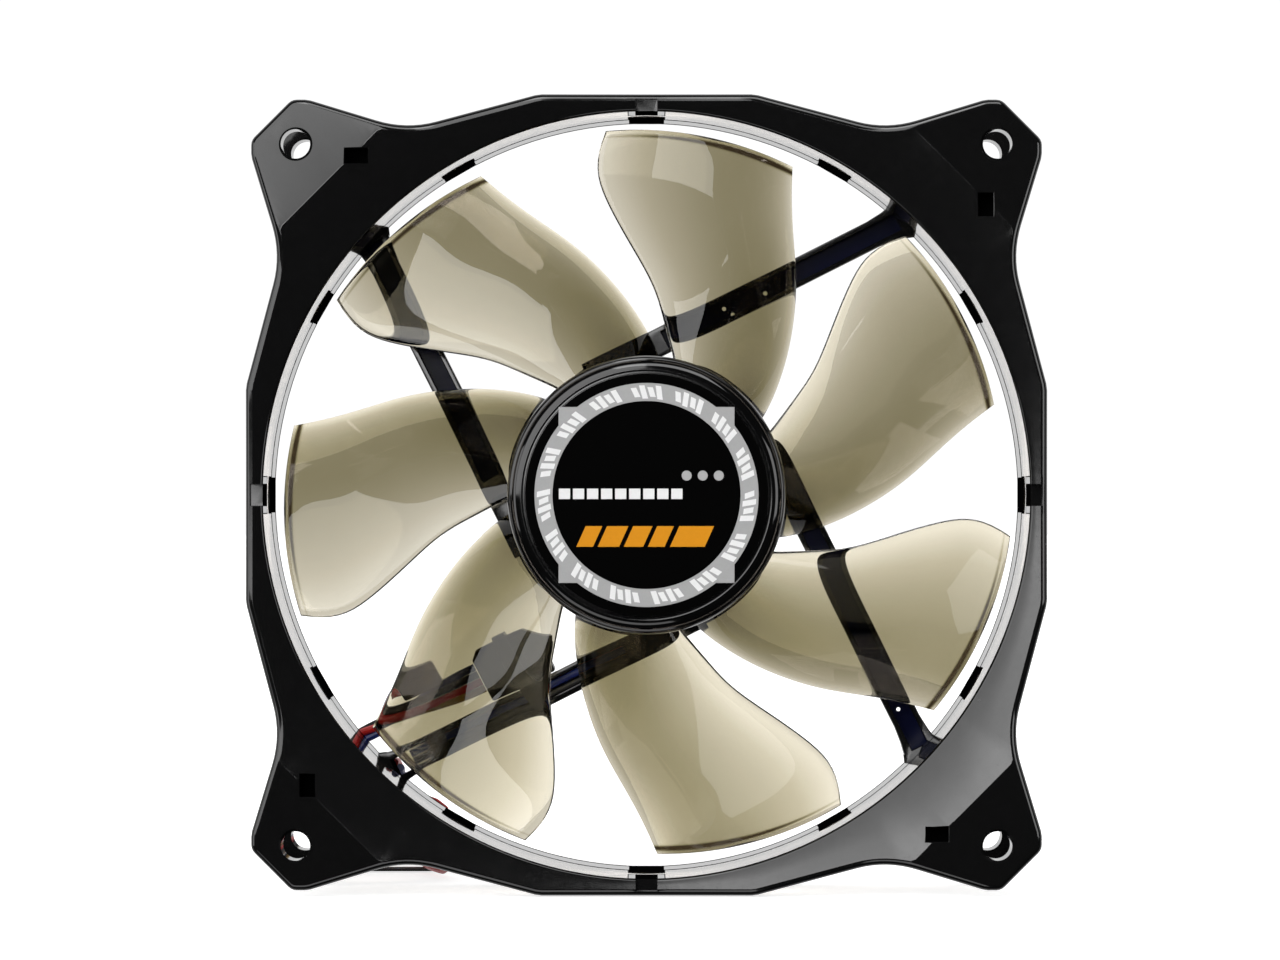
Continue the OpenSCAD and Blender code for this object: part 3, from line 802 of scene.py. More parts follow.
ROWS = (0.6, -1.8, 1.8, -0.6)  # red, blue, yellow and black side by side at the plug
HANK = {"x": -42.9, "near": 13.9, "far": 53.4, "radius": 8.3, "turns": 2.5}


def hank_route(plan):
    """The hank's turns: up the right side, down the left, and a cable's width higher each time."""
    r = HANK["radius"]
    near, far = HANK["near"] + plan.cable / 2 + r, HANK["far"] - plan.cable / 2 - r
    straight, bend = far - near, math.pi * r
    lap = 2 * (straight + bend)
    start = OUT_ROUTE[-1][1] + 6 - near
    total = HANK["turns"] * lap + straight * 0.4 - start
    low, rise = plan.cable / 2, plan.cable
    points = []
    steps = int(total / 2)
    for k in range(steps + 1):
        run = start + total * k / steps
        at = run % lap
        if at < straight:
            x, y = r, near + at
        elif at < straight + bend:
            a = (at - straight) / r
            x, y = r * math.cos(a), far + r * math.sin(a)
        elif at < 2 * straight + bend:
            x, y = -r, far - (at - straight - bend)
        else:
            a = (at - 2 * straight - bend) / r
            x, y = -r * math.cos(a), near - r * math.sin(a)
        z = low + rise * max(0, run / lap - 0.08) + 0.1
        points.append((HANK["x"] + x, y, z))
    return points


def cable_route(plan):
    """Centre points of the whole cable, standing, in millimetres, about one wire's width apart."""
    points = [*OUT_ROUTE, *hank_route(plan), *BACK_ROUTE]
    fine = [along(points, k / (len(points) * 6)) for k in range(len(points) * 6 + 1)]
    route = [fine[0]]
    for p in fine[1:]:
        if math.dist(p, route[-1]) >= plan.wire * 0.9:
            route.append(p)
    route.append(fine[-1])
    return route


def build_cable(plan, colours):
    route = cable_route(plan)
    flat = [lie(p) for p in route]
    across = frames_along(flat)
    spread = plan.wire / 2 * 1.02
    shells, done = [], 0
    strands = [[] for _ in range(4)]
    total = sum(math.dist(a, b) for a, b in zip(flat, flat[1:]))
    sideways = Vector(turned((0, 1, 0), plan.strut_slant + 90 * plan.lead_strut))
    for k, (p, (u, v)) in enumerate(zip(flat, across)):
        done += math.dist(p, flat[k - 1]) if k else 0
        flare = min(1, max(0, 1 - (total - done - 1) / FLARE))
        flare = flare * flare * (3 - 2 * flare)
        for n, strand in enumerate(strands):
            a = math.radians(PLUG_TURN + 90 * n) - (total - done) / TWIST * 2 * math.pi
            bundled = spread * 1.414 * (u * math.cos(a) + v * math.sin(a))
            strand.append(tuple(Vector(p) + bundled.lerp(sideways * ROWS[n], flare)))
    shells = [tube(strand, plan.wire / 2, 10) for strand in strands]
    cable = new_object("cable_bundle", shells)
    names = ("red", "blue", "yellow", "wire_black")
    finishes = [insulation(f"{n} insulation", tuple(getattr(colours, n))) for n in names]
    dress(cable, *finishes, even=False)
    paint_shells(cable, 4)
    settle(cable, "frame", "wire", "cable_out", "cable_hank", "cable_back")
    return cable, [tuple(c * MM for c in p) for p in route]


# ---- Frame pieces ----

EARS = ((1, 1), (-1, 1), (-1, -1), (1, -1))


def face_height(plan, x, y):
    """Height of the intake face: it falls from the crease to the bore and to the ears."""
    across = (abs(x) + abs(y)) / math.sqrt(2)
    if across > plan.crease:
        return plan.front_z - (across - plan.crease) * math.tan(math.radians(plan.ear_tilt))
    reach = min(1, (plan.crease - across) / (plan.crease - plan.bore_r))
    radius = min(1, max(0, (plan.crease - math.hypot(x, y)) / (plan.crease - plan.bore_r)))
    return plan.front_z - plan.funnel_drop * min(reach, radius) if reach > 0 else plan.front_z


def toward(p, radius):
    """The point at this radius in the direction of p."""
    share = radius / math.hypot(p[0], p[1])
    return (p[0] * share, p[1] * share)


def rounded_edge(outline, edge, side, height):
    """Loops that round an outline's edge: side is 1 upwards and -1 downwards."""
    loops = []
    inner = inset(outline, edge)
    for k in range(6):
        a = math.radians(18 * k)
        line, drop = inset(outline, edge * (1 - math.cos(a))), side * edge * (1 - math.sin(a))
        loops.append([(*p, height(*q) - drop) for p, q in zip(line, inner)])
    return loops if side > 0 else loops[::-1]


def crease_radius(plan, p):
    angle = (math.degrees(math.atan2(p[1], p[0])) + 360) % 90 - 45
    return plan.crease / math.cos(math.radians(angle))


def build_front_frame(plan, black, shade_matt):
    outline = frame_outline(plan)
    inner = inset(outline, plan.edge)
    soft = 0.35

    def height(x, y):
        return face_height(plan, x, y)

    def ring(radius, z):
        return [(*toward(p, radius), z) for p in inner]

    def between(offset):
        """A loop beside the crease, kept inside the rounded edge."""
        loop = []
        for p in inner:
            reach = math.hypot(*p)
            r = min(crease_radius(plan, p) + offset, reach - 0.1 + offset * 0.3)
            q = toward(p, r)
            loop.append((*q, height(*q)))
        return loop

    def mid_ring(share):
        loop = []
        for p in inner:
            outer = min(crease_radius(plan, p), math.hypot(*p))
            q = toward(p, plan.bore_r + (outer - plan.bore_r) * share)
            loop.append((*q, height(*q)))
        return loop

    inside = plan.ring_out + 0.05
    rings = [
        ring(inside, plan.ring_mid + 0.15),
        ring(inside + 0.15, plan.ring_mid),
        [(*p, plan.ring_mid) for p in inset(outline, 0.3)],
        [(*p, plan.ring_mid + 0.09) for p in inset(outline, 0.09)],
        [(*p, plan.ring_mid + 0.3) for p in outline],
        *rounded_edge(outline, plan.edge, 1, height),
        between(0.12), between(-0.12), mid_ring(0.6),
    ]
    for k in range(5):
        a = math.radians(22.5 * k)
        r = plan.bore_r + soft * (1 - math.sin(a))
        rings.append([(*toward(p, r), height(*toward(p, r)) - soft * (1 - math.cos(a))) for p in inner])
    rings += [
        ring(plan.bore_r, plan.ring_top + 0.15),
        ring(plan.bore_r + 0.15, plan.ring_top),
        ring(inside, plan.ring_top),
    ]
    obj = new_object("front_frame_shell", [loft(rings, loop=True)])

    half = plan.clip_w / 2
    low, top = plan.ring_mid - plan.clip_rise, plan.ring_top + 0.3
    r0, r1 = plan.bore_r, plan.ring_out
    wall = [(r0, low + 0.5), (r0 + 0.5, low), (r1, low), (r1, top), (r0, top)]
    across = (-half, -half + 1, half - 1, half)
    combine(obj, [rib(wall, across, turn) for turn in range(0, 360, 90)], "UNION")

    holes = []
    for sx, sy in EARS:
        x, y = sx * plan.hole_c, sy * plan.hole_c
        top = height(x, y)
        r = plan.hole_r
        profile = [
            (0, plan.ring_mid - 1), (r, plan.ring_mid - 1), (r, top - 0.35),
            (r + 0.35, top + 0.02), (r + 0.8, top + 1), (0, top + 1),
        ]
        holes.append(revolve(profile, 40, (x, y)))
    for quarter in range(4):
        x, y = -(plan.hole_c - 9.1), plan.hole_c - 1.8
        w, d, flare, top = 3.5 / 2, 2.3 / 2, 0.12, height(x, y)
        loops = [(0, plan.front_z - 2.6, 0.4), (0, top - flare, 0), (flare * 2, top + flare, 0)]
        holes.append(loft([
            [(*turned((x + sx * (w + g), y + sy * (d + g)), 90 * quarter), z + sx * slope)
             for sx, sy in ((-1, -1), (1, -1), (1, 1), (-1, 1))] for g, z, slope in loops]))
    for turn in range(0, 360, 90):
        half, low = plan.notch_w / 2, plan.ring_top + 0.8
        corner = (plan.bore_r + plan.notch_deep, half, plan.front_z + 2)
        holes.append(block((plan.bore_r - 2, -half, low), corner, 0.1, turn))
    combine(obj, holes)
    dress(obj, black, shade_matt)
    shade_bore_and_pockets(plan, obj, 1, plan.bore_r + 0.03)
    return settle(obj, "frame", "black_plastic", "front_frame")


def strut_place(plan, number):
    """Turns a place along, across and through a strut into a flat point."""
    return lambda s, n, z: turned((s, n, z), plan.strut_slant + 90 * number)


def shade_bore_and_pockets(plan, obj, index, reach):
    """Painted shade: the darker matt black without reflection, for what faces the bore out to this radius,
    for its rearmost edge and for the front pockets' floors.
    """
    for polygon in obj.data.polygons:
        c, n = polygon.center / MM, polygon.normal
        x, y, z = lie(c)
        r = math.hypot(x, y)
        near = r < reach or z < plan.rear_z + 1.6
        wall = plan.bore_r - 1 < r < plan.bore_r + 0.1 and near and abs(n.x * x + n.z * y) > 0.5 * r
        pocket = abs(z - plan.front_z + 2.6) < 0.5 and n.y < -0.8 and r > plan.bore_r + 2
        if wall or pocket:
            polygon.material_index = index


def build_rear_frame(plan, black, blue_glint_groove, shade_matt):
    outline = frame_outline(plan)
    inner = inset(outline, plan.edge)
    low, top = plan.rear_z, plan.rear_z + plan.flange

    def ring(radius, z):
        return [(*toward(p, radius), z) for p in inner]

    rings = [
        ring(plan.bore_r, low + 1.6),
        ring(plan.bore_r, low + 0.3),
        ring(plan.bore_r + 0.09, low + 0.09),
        ring(plan.bore_r + 0.3, low),
        *rounded_edge(outline, plan.edge, -1, lambda x, y: low),
        [(*p, top - 0.3) for p in outline],
        [(*p, top - 0.09) for p in inset(outline, 0.09)],
        [(*p, top) for p in inset(outline, 0.3)],
        ring(plan.collar_out, top),
        ring(plan.collar_out, plan.ring_low - 0.15),
        ring(plan.collar_out - 0.15, plan.ring_low),
        ring(plan.bore_r + 0.15, plan.ring_low),
        ring(plan.bore_r, plan.ring_low - 0.15),
    ]
    obj = new_object("rear_frame_shell", [loft(rings, loop=True)])

    # motor base with its rim
    r, pocket = plan.base_r, plan.base_r - 1.2
    label = plan.label_r + 0.2
    rim = plan.base_top
    base = revolve([
        (0, low + 0.3), (label, low + 0.3), (label + 0.1, low), (r - 0.35, low), (r - 0.1, low + 0.1),
        (r, low + 0.35), (r, rim - 0.2), (r - 0.2, rim), (pocket + 0.15, rim), (pocket, rim - 0.15),
        (pocket, plan.floor_z), (0, plan.floor_z),
    ])
    struts = []
    for number in range(4):
        at = strut_place(plan, number)
        sections = []
        foot = [(0, 0.0), (plan.strut_end - 6, 0.0), (plan.strut_end - 3.4, 0.25),
                (plan.strut_end - 1.5, 0.6), (plan.strut_end, 1.15)]
        for s, flare in foot:
            w, h = plan.strut_w / 2 + flare, plan.strut_h
            section = [
                (-w + 0.35, 0), (w - 0.35, 0), (w - 0.1, 0.1), (w, 0.35), (w, h - 0.2),
                (w - 0.06, h - 0.06), (w - 0.2, h), (-w + 0.2, h), (-w + 0.06, h - 0.06),
                (-w, h - 0.2), (-w, 0.35), (-w + 0.1, 0.1),
            ]
            sections.append([at(s, plan.strut_off + n, low + z) for n, z in section])
        struts.append(loft(sections))
    combine(obj, struts, "UNION")
    combine(obj, [base], "UNION")

    half = plan.clip_w / 2
    z0, z1 = low + 0.4, plan.ring_low + plan.clip_rise
    r0, r1 = plan.bore_r - plan.rib, plan.ring_out
    wall = [(r0 + 0.3, z0), (r1, z0), (r1, z1), (r0 + 0.5, z1), (r0, z1 - 0.5), (r0, z0 + 0.3)]
    combine(obj, [rib(wall, (-half, -1, 1, half), turn) for turn in range(0, 360, 30)], "UNION")

    cuts = []
    for sx, sy in EARS:
        hr = plan.hole_r
        profile = [
            (0, low - 1), (hr + 0.8, low - 1), (hr + 0.35, low - 0.02), (hr, low + 0.35),
            (hr, top - 0.2), (hr + 0.2, top + 0.02), (hr + 0.2, top + 1), (0, top + 1),
        ]
        cuts.append(revolve(profile, 40, (sx * plan.hole_c, sy * plan.hole_c)))
    half = plan.channel_w / 2
    for number in range(4):
        at = strut_place(plan, number)
        start, end = plan.base_r * 0.62, plan.strut_end - 1.6
        head = low + plan.strut_h
        loops = [(0, low + plan.strut_wall), (0, head - 0.12), (0.14, head + 0.02), (0.14, head + 1)]
        cuts.append(loft([
            [at(s + ds * g, plan.strut_off + dn * (half + g), z)
             for s, ds, dn in ((start, -1, -1), (end, 1, -1), (end, 1, 1), (start, -1, 1))]
            for g, z in loops]))
    combine(obj, cuts)
    pins = []
    pin_holes = {0: [(23.4, 0.2), (24.2, -1.2), (30.0, -0.4)], 2: [(24, -0.7), (24, 0.7)], 3: [(47.2, -0.3)]}
    for number, spots in pin_holes.items():
        for s, n in spots:
            x, y, _ = strut_place(plan, number)(s, plan.strut_off + n, 0)
            pins.append(disc_shell(0.32, low - 1, low + 2, 16, (x, y)))
    at = strut_place(plan, plan.lead_strut)
    exit_end = plan.strut_end - 1.8
    pins.append(loft([
        [at(s, plan.strut_off + n, z) for s, n in (
            (exit_end - 5, -half), (exit_end, -half), (exit_end, half), (exit_end - 5, half))]
        for z in (low - 1, plan.floor_z + 0.4)]))
    combine(obj, pins)
    dress(obj, black, blue_glint_groove, shade_matt)
    shade_bore_and_pockets(plan, obj, 2, plan.bore_r - plan.rib / 2)
    # The channels of the three bare struts get the navy material, a painted blue glint.
    for polygon in obj.data.polygons:
        x, y, z = lie(polygon.center / MM)
        if z > plan.rear_z + plan.strut_h - 0.3 or z < plan.rear_z + 0.5:
            continue
        for number in (0, 1, 3):
            s, n = turned((x, y), -plan.strut_slant - 90 * number)
            if 12 < s < plan.strut_end - 1 and abs(n - plan.strut_off) < half + 0.05:
                polygon.material_index = 1
    return settle(obj, "frame", "black_plastic", "rear_frame")


def build_duct(plan, clear):
    """The clear ring between the flanges, with slots for their clips."""
    top, mid, low = plan.ring_top, plan.ring_mid, plan.ring_low
    profile = [
        (plan.ring_in, low + 0.1), (plan.ring_in + 0.1, low), (plan.collar_out - 0.15, low),
        (plan.collar_out, low + 0.15), (plan.collar_out, mid - 0.15), (plan.collar_out - 0.15, mid),
        (plan.ring_out, mid), (plan.ring_out, top - 0.15), (plan.ring_out - 0.15, top),
        (plan.ring_in + 0.1, top), (plan.ring_in, top - 0.1),
    ]
    obj = new_object("clear_duct", [revolve(profile, 240)])
    slots, half = [], plan.clip_w / 2 + 0.15
    for k in range(12):
        slots.append(block((plan.bore_r - 1, -half, low - 1),
                           (plan.ring_out + 0.05, half, low + plan.clip_rise + 0.15), 0.1, 30 * k))
    for k in range(4):
        slots.append(block((plan.bore_r - 1, -half, mid - plan.clip_rise - 0.15),
                           (plan.ring_out + 0.05, half, top + 1), 0.1, 90 * k))
    combine(obj, slots)
    dress(obj, clear)
    return settle(obj, "frame", "clear_plastic", "duct_ring")


# ---- Rotor pieces ----

LEAD_ANGLE = [-12.5, -6.5, -3.3, 1.5, 5.4, 8, 9, 6.4]
TRAIL_ANGLE = [-58.5, -52, -46, -40.3, -35.2, -30, -26.4, -24]


def calm(values, u):
    """along() with its small waves averaged out."""
    reach = 0.11
    taps = [(-1, 0.12), (-0.5, 0.22), (0, 0.32), (0.5, 0.22), (1, 0.12)]
    first, last = along(values, 0), along(values, 1)
    total = 0
    for step, share in taps:
        at = u + step * reach
        value = along(values, at)
        if at < 0:
            value += first - along(values, -at)
        elif at > 1:
            value += last - along(values, 2 - at)
        total += value * share
    return total


def blade_section(plan, u, turn, steps):
    """One closed ring round a blade at span share u, and the plastic's depth at each of its points, with
    painted shade added to that depth.
    """
    r = plan.blade_r0 + (plan.blade_r1 - plan.blade_r0) * u
    a0, a1 = calm(LEAD_ANGLE, u), calm(TRAIL_ANGLE, u)
    lead = (plan.hub_shoulder - 1.5, plan.hub_shoulder - 3.2)
    trail = (plan.hub_low + 0.6, plan.rear_z + plan.strut_h + 1.3)
    z0, z1 = lead[0] + (lead[1] - lead[0]) * u, trail[0] + (trail[1] - trail[0]) * u
    camber, wave = 1.3, 0.05 * min(1, u * 3)
    run = math.radians(a1 - a0) * r
    to_tip = (1 - u) * (plan.blade_r1 - plan.blade_r0)
    blunt = math.sqrt(max(0.0, 1 - (1 - min(to_tip / 0.6, 1)) ** 2)) * 0.85 + 0.15
    shares = [(1 - math.cos(math.pi * k / steps)) / 2 for k in range(steps + 1)]
    points, depths_and_shade = [], []
    for side, some in ((1, shares), (-1, shares[-2:0:-1])):
        for v in some:
            a = a0 + (a1 - a0) * v
            z = z0 + (z1 - z0) * v**camber - wave * math.sin(2 * math.pi * v)
            fall = (z1 - z0) * camber * max(v, 0.02) ** (camber - 1)
            fall -= wave * 2 * math.pi * math.cos(2 * math.pi * v)
            lens = max(0.0, 1 - (2 * v - 1) ** 4)
            half = plan.blade_t / 2 * math.sqrt(lens) * blunt
            scale = half * side / math.hypot(fall, run)
            where = math.radians(a + turn) + fall * scale / r
            points.append((r * math.cos(where), r * math.sin(where), z - run * scale))
            # Painted shade: the depth grows as the blade slants across the fan's axis, darkening it as
            # though seen through at a slant.
            slope = math.hypot(fall, run) / abs(run)
            belly = (1 - (1 - v) ** 4) * (1 - v**10) * (0.85 + 0.3 * v)
            depth = (0.15 + 0.44 * belly) * slope
            # Painted shade: a dark line about a millimetre in from the tip, where the tip is seen edge-on.
            wide = 0.12 + 0.22 * v
            line = math.exp(-(((to_tip - 0.95) / wide) ** 2)) * min(1, 0.1 + v * 1.5)
            depths_and_shade.append(min(1, depth + line))
    return points, depths_and_shade


def build_impeller(plan, smoke):
    """Seven curved blades on the hub's sleeve, all one see-through moulding."""
    reach = plan.blade_r1 - plan.blade_r0
    from_tip = [1.55, 1.38, 1.22, 1.08, 0.95, 0.82, 0.68, 0.52, 0.36, 0.22, 0.1, 0.03, 0]
    spans = [k / 28 * (1 - 1.8 / reach) for k in range(29)] + [1 - d / reach for d in from_tip]
    shells, depths_and_shade = [], []
    for n in range(plan.blade_count):
        turn = 90 + 360 * n / plan.blade_count
        rings = []
        for u in spans:
            points, depth = blade_section(plan, u, turn, 26)
            rings.append(points)
            depths_and_shade += depth
        shells.append(loft(rings))
    obj = new_object("smoke_impeller", shells)
    mark_depth_and_shade(obj, depths_and_shade)
    sleeve_in = plan.hub_r - plan.hub_wall
    shoulder_r = plan.hub_r - 0.8
    boss = 3.25
    hub = revolve([
        (sleeve_in, plan.hub_low), (plan.hub_r - 0.2, plan.hub_low), (plan.hub_r, plan.hub_low + 0.2),
        (plan.hub_r, plan.hub_shoulder - 0.1), (plan.hub_r - 0.1, plan.hub_shoulder),
        (shoulder_r, plan.hub_shoulder), (shoulder_r, plan.hub_top), (boss, plan.hub_top),
        (boss, plan.hub_top - 2.2), (sleeve_in, plan.hub_top - 2.2),
    ], 180)
    combine(obj, [hub], "UNION", depth=0.5)
    dress(obj, smoke, sharp=45, even=False)
    return settle(obj, "rotor", "smoke_plastic", "impeller")


def build_cap(plan, cap):
    r, top = plan.cap_r, plan.cap_top
    inner, low, curve = plan.hub_r - 0.75, plan.cap_top - 3.7, 2.1
    profile = [(0, top - 1.6), (inner, top - 1.6), (inner, low), (r - 0.15, low), (r, low + 0.15)]
    profile += [
        (r - curve * (1 - math.sin(math.radians(a))), top - curve * (1 - math.cos(math.radians(a))))
        for a in (90, 80, 72, 64, 57)
    ]
    profile += [(r - 0.42, top - 0.86), (r - 0.5, top - 0.82)]
    profile += [
        (r - 0.45 - (curve - 0.4) * (1 - math.sin(math.radians(a))),
         top - (curve - 0.4) * (1 - math.cos(math.radians(a))))
        for a in (56, 48, 40, 32, 24, 16, 8, 0)
    ]
    profile += [
        (r - 2.3, top - 0.02), (r - 2.4, top - 0.18), (r - 2.6, top - 0.18), (r - 2.7, top), (0, top)
    ]
    obj = new_object("gloss_cap", [revolve(profile, 200)])
    dress(obj, cap)
    return settle(obj, "rotor", "black_plastic", "hub_cap")


def build_label(plan, silver, ink, white, orange, grey):
    """A silver ring on a square, a black disc inside it, and plain bars in place of any print."""
    edge_r, ring_r, disc_r = plan.cap_r - 2.75, plan.cap_r - 4.15, plan.cap_r - 6.85
    square = 26.3 / 2
    z = plan.cap_top
    low, high = z + 0.09, z + 0.12
    disc = new_object("label_disc", [
        disc_shell(edge_r, z, z + 0.05), disc_shell(disc_r, z + 0.052, z + 0.115)])
    dress(disc, ink)
    settle(disc, "rotor", "silver_label", "hub_label")

    corners = (-square, -square, z + 0.03), (square, square, z + 0.08)
    sheet = new_object("label_sheet", [block(*corners, 0.02)])
    combine(sheet, [disc_shell(ring_r, z + 0.03, z + 0.1)], "UNION")
    dress(sheet, silver)
    settle(sheet, "rotor", "silver_label")

    ticks = []
    mid, groups, half, lean = (ring_r + disc_r) / 2, 15, 0.42, 0.25
    for k in range(groups):
        for step, tall in ((-1.9, 1.0), (-0.75, 0.72), (0.45, 1.0), (1.65, 0.72)):
            angle = 360 * k / groups + math.degrees(step / mid) + 90
            corners = [
                (mid - tall, -half - lean), (mid + tall, -half + lean),
                (mid + tall, half + lean), (mid - tall, half - lean),
            ]
            ticks.append(prism(corners, low, high, 0.015, angle))
    starts = [-13.1 + 2.1 * k for k in range(9)]
    bars = [block((x, -0.62, z + 0.1), (x + 1.68, 0.95, z + 0.14), 0.018) for x in starts]
    marks = new_object("label_marks", [*ticks, *bars])
    dress(marks, white)
    settle(marks, "rotor", "silver_label")

    lean, foot, head = 0.7, -6.2 - 1.55, -6.2 + 1.55
    stripes = []
    for left, right in ((-9.8, -7.3), (-6.6, -3.4), (-2.7, 0.2), (0.9, 3.4), (4.2, 9.4)):
        corners = [(left - lean, foot), (right - lean, foot), (right + lean, head), (left + lean, head)]
        stripes.append(prism(corners, z + 0.1, z + 0.14, 0.018))
    stripe = new_object("label_bars", stripes)
    dress(stripe, orange)
    settle(stripe, "rotor", "silver_label")

    dots = [
        disc_shell(0.75, z + 0.1, z + 0.14, 32, (x, 2.9)) for x in (6.0, 8.4, 10.8)
    ]
    dot = new_object("label_dots", dots)
    dress(dot, grey)
    settle(dot, "rotor", "silver_label")


# ---- Plugs and wires ----


def at_lead_strut(plan, shell):
    """A shell drawn along the strut that carries the leads, turned into place."""
    points, faces = shell
    return [turned(p, plan.strut_slant + 90 * plan.lead_strut) for p in points], faces


def build_plug(plan, black, name, node, place, shell, contacts, windows, bevel):
    """A plug housing with the same windows cut at each of its contacts."""
    s, n, z = place
    obj = new_object(name, [at_lead_strut(plan, shell)])
    combine(obj, [
        at_lead_strut(plan, block((s + s0, n + y - w, z + z0), (s + s1, n + y + w, z + z1), bevel))
        for y in contacts for s0, s1, w, z0, z1 in windows
    ])
    dress(obj, black)
    settle(obj, "frame", "black_nylon", node)


def build_plugs(plan, black):
    a, b, c = (side / 2 for side in plan.plug_size)
    s, n, z = plan.plug_s, plan.plug_n, plan.plug_z
    outline = [
        (s - a, n + 1.8 - b), (s + 1.8 - a, n - b), (s + a - 1.2, n - b),
        (s + a, n + 1.2 - b), (s + a, n + b), (s - a, n + b),
    ]
    build_plug(
        plan, black, "fan_plug_shell", "fan_plug", (s, n, z), prism(outline, z - c, z + c, 0.3),
        (-2.54, 0, 2.54), [
            (-a - 1, a - 3, 0.8, -0.8, 0.8), (-2.4, 1.4, 0.55, c - 0.5, c + 1),
            (a - 1.5, a + 1, 0.75, -0.75, 0.75), (-1.2, 2.2, 0.5, -c - 1, -c + 0.45),
        ], 0.08,
    )

    a, b, c = (side / 2 for side in plan.speed_size)
    s, n = plan.speed_s, plan.speed_n
    build_plug(
        plan, black, "speed_plug_shell", "speed_plug", (s, n, z),
        block((s - a, n - b, z - c), (s + a, n + b, z + c), 0.25), (-0.95, 0.95), [
            (-a - 1, a - 2, 0.6, -0.6, 0.6), (-1, 1.6, 0.45, c - 0.4, c + 1),
            (-1, 1.6, 0.45, -c - 1, -c + 0.4),
        ], 0.06,
    )


def smooth_path(points, steps):
    return [along(points, k / steps) for k in range(steps + 1)]


def build_wires(plan, finishes):
    """The leads in the strut's channel, and the short wires of the small plug."""
    r = plan.wire / 2
    gap = plan.wire + 0.05
    low, under = plan.rear_z + plan.strut_wall + r + 0.05, plan.floor_z + r + 0.05
    board_r = CAP_HIGH.x / MM - 5.55
    start = plan.strut_end - 4.9
    shells = []
    for i in (0, 1):
        for k in (0, 1):
            n, z = plan.strut_off + (i - 0.5) * gap, low + k * gap
            s = 3.6 + gap * (2 * k - i)
            route = [
                (start, n, z), (start / 2, n, z), (s + 1.5 + 1.5 * k, n, z), (s, board_r + 1.4, z),
                (s, board_r - 1, under), (s, board_r - 2, under),
            ]
            shells.append(at_lead_strut(plan, tube(smooth_path(route, 40), r)))
    leads = new_object("lead_wires", shells)
    dress(leads, *finishes, even=False)
    paint_shells(leads, 4)
    settle(leads, "frame", "wire", "strut_leads")

    back, n0 = plan.speed_s + plan.speed_size[0] / 2, plan.speed_n
    shells = []
    for y in (-0.65, 0.65):
        turns = [(-0.4, y), (1.2, y), (3.4, y * 0.8 + 1.4), (5.8, y * 0.3 + 3.4)]
        route = [(back + s, n0 + n, plan.plug_z) for s, n in turns]
        shells.append(at_lead_strut(plan, tube(smooth_path(route, 20), r)))
    branch = new_object("branch_wires", shells)
    dress(branch, finishes[1], finishes[0], even=False)
    paint_shells(branch, 2)
    settle(branch, "frame", "wire", "branch_leads")


def build_holders(plan, black):
    """The tie round strut and plug, the clip over the leads and the hank's tie."""
    low_n = plan.plug_n - plan.plug_size[1] / 2 - 0.1
    high_n = plan.strut_off + plan.strut_w / 2 + 0.1
    low_z, high_z = plan.plug_z - plan.plug_size[2] / 2 - 0.1, plan.rear_z + plan.strut_h + 0.1
    s, t, w = plan.plug_s, 0.5, 2
    path = rounded(oblong((low_n, low_z), (high_n, high_z)), 0.5, 4)
    rings = [
        [(s - w / 2, *p), (s + w / 2, *p), (s + w / 2, *q), (s - w / 2, *q)]
        for p, q in zip(path, inset(path, -t))
    ]
    tie = new_object("tie_band", [at_lead_strut(plan, loft(rings, loop=True))])
    dress(tie, black)
    settle(tie, "frame", "black_nylon", "cable_tie")

    s = plan.strut_end - 9.5
    half, low = plan.strut_w / 2, plan.rear_z + plan.strut_h
    clip = new_object("lead_clip_bar", [at_lead_strut(plan, block(
        (s - 1.5, plan.strut_off - half, low), (s + 1.5, plan.strut_off + half, low + 0.6), 0.15))])
    dress(clip, black)
    settle(clip, "frame", "black_plastic", "lead_clip")

    x, y = HANK["x"], (HANK["near"] + HANK["far"]) / 2
    half_x, top, half, t = HANK["radius"] + 1.4, 9.7, 1.6, 0.45
    path = rounded(oblong((x - half_x, 0), (x + half_x, top)), 1.3, 6)
    rings = [
        [lie((c[0], y + move, c[1])) for c, move in ((p, -half), (p, half), (q, half), (q, -half))]
        for p, q in zip(path, inset(path, t))
    ]
    band = new_object("hank_tie", [loft(rings, loop=True)])
    dress(band, black)
    settle(band, "frame", "black_nylon")


# ---- Operators ----


def fan(context):
    """The fan's sizes and places, and its colours."""
    return Plan(context.scene.fan_sizes), context.scene.fan_colours


class CASEFAN_OT_stage(bpy.types.Operator):
    """Sets up the camera, the floor and the studio light"""

    bl_idname = "casefan.stage"
    bl_label = "Stage"

    def execute(self, context):
        build_stage(context.scene.fan_stage, fan(context)[0])
        return {"FINISHED"}


class CASEFAN_OT_cable(bpy.types.Operator):
    """Lays the cable along its route, and adds its plugs, wires and ties"""

    bl_idname = "casefan.cable"
    bl_label = "Cable"

    def execute(self, context):
        plan, colours = fan(context)
        cable, path = build_cable(plan, colours)
        nylon = moulded("black nylon", (0.006, 0.006, 0.0065), rough=0.28, dusty=0.2)
        build_plugs(plan, nylon)
        build_wires(plan, list(cable.data.materials))
        build_holders(plan, nylon)
        return {"FINISHED"}


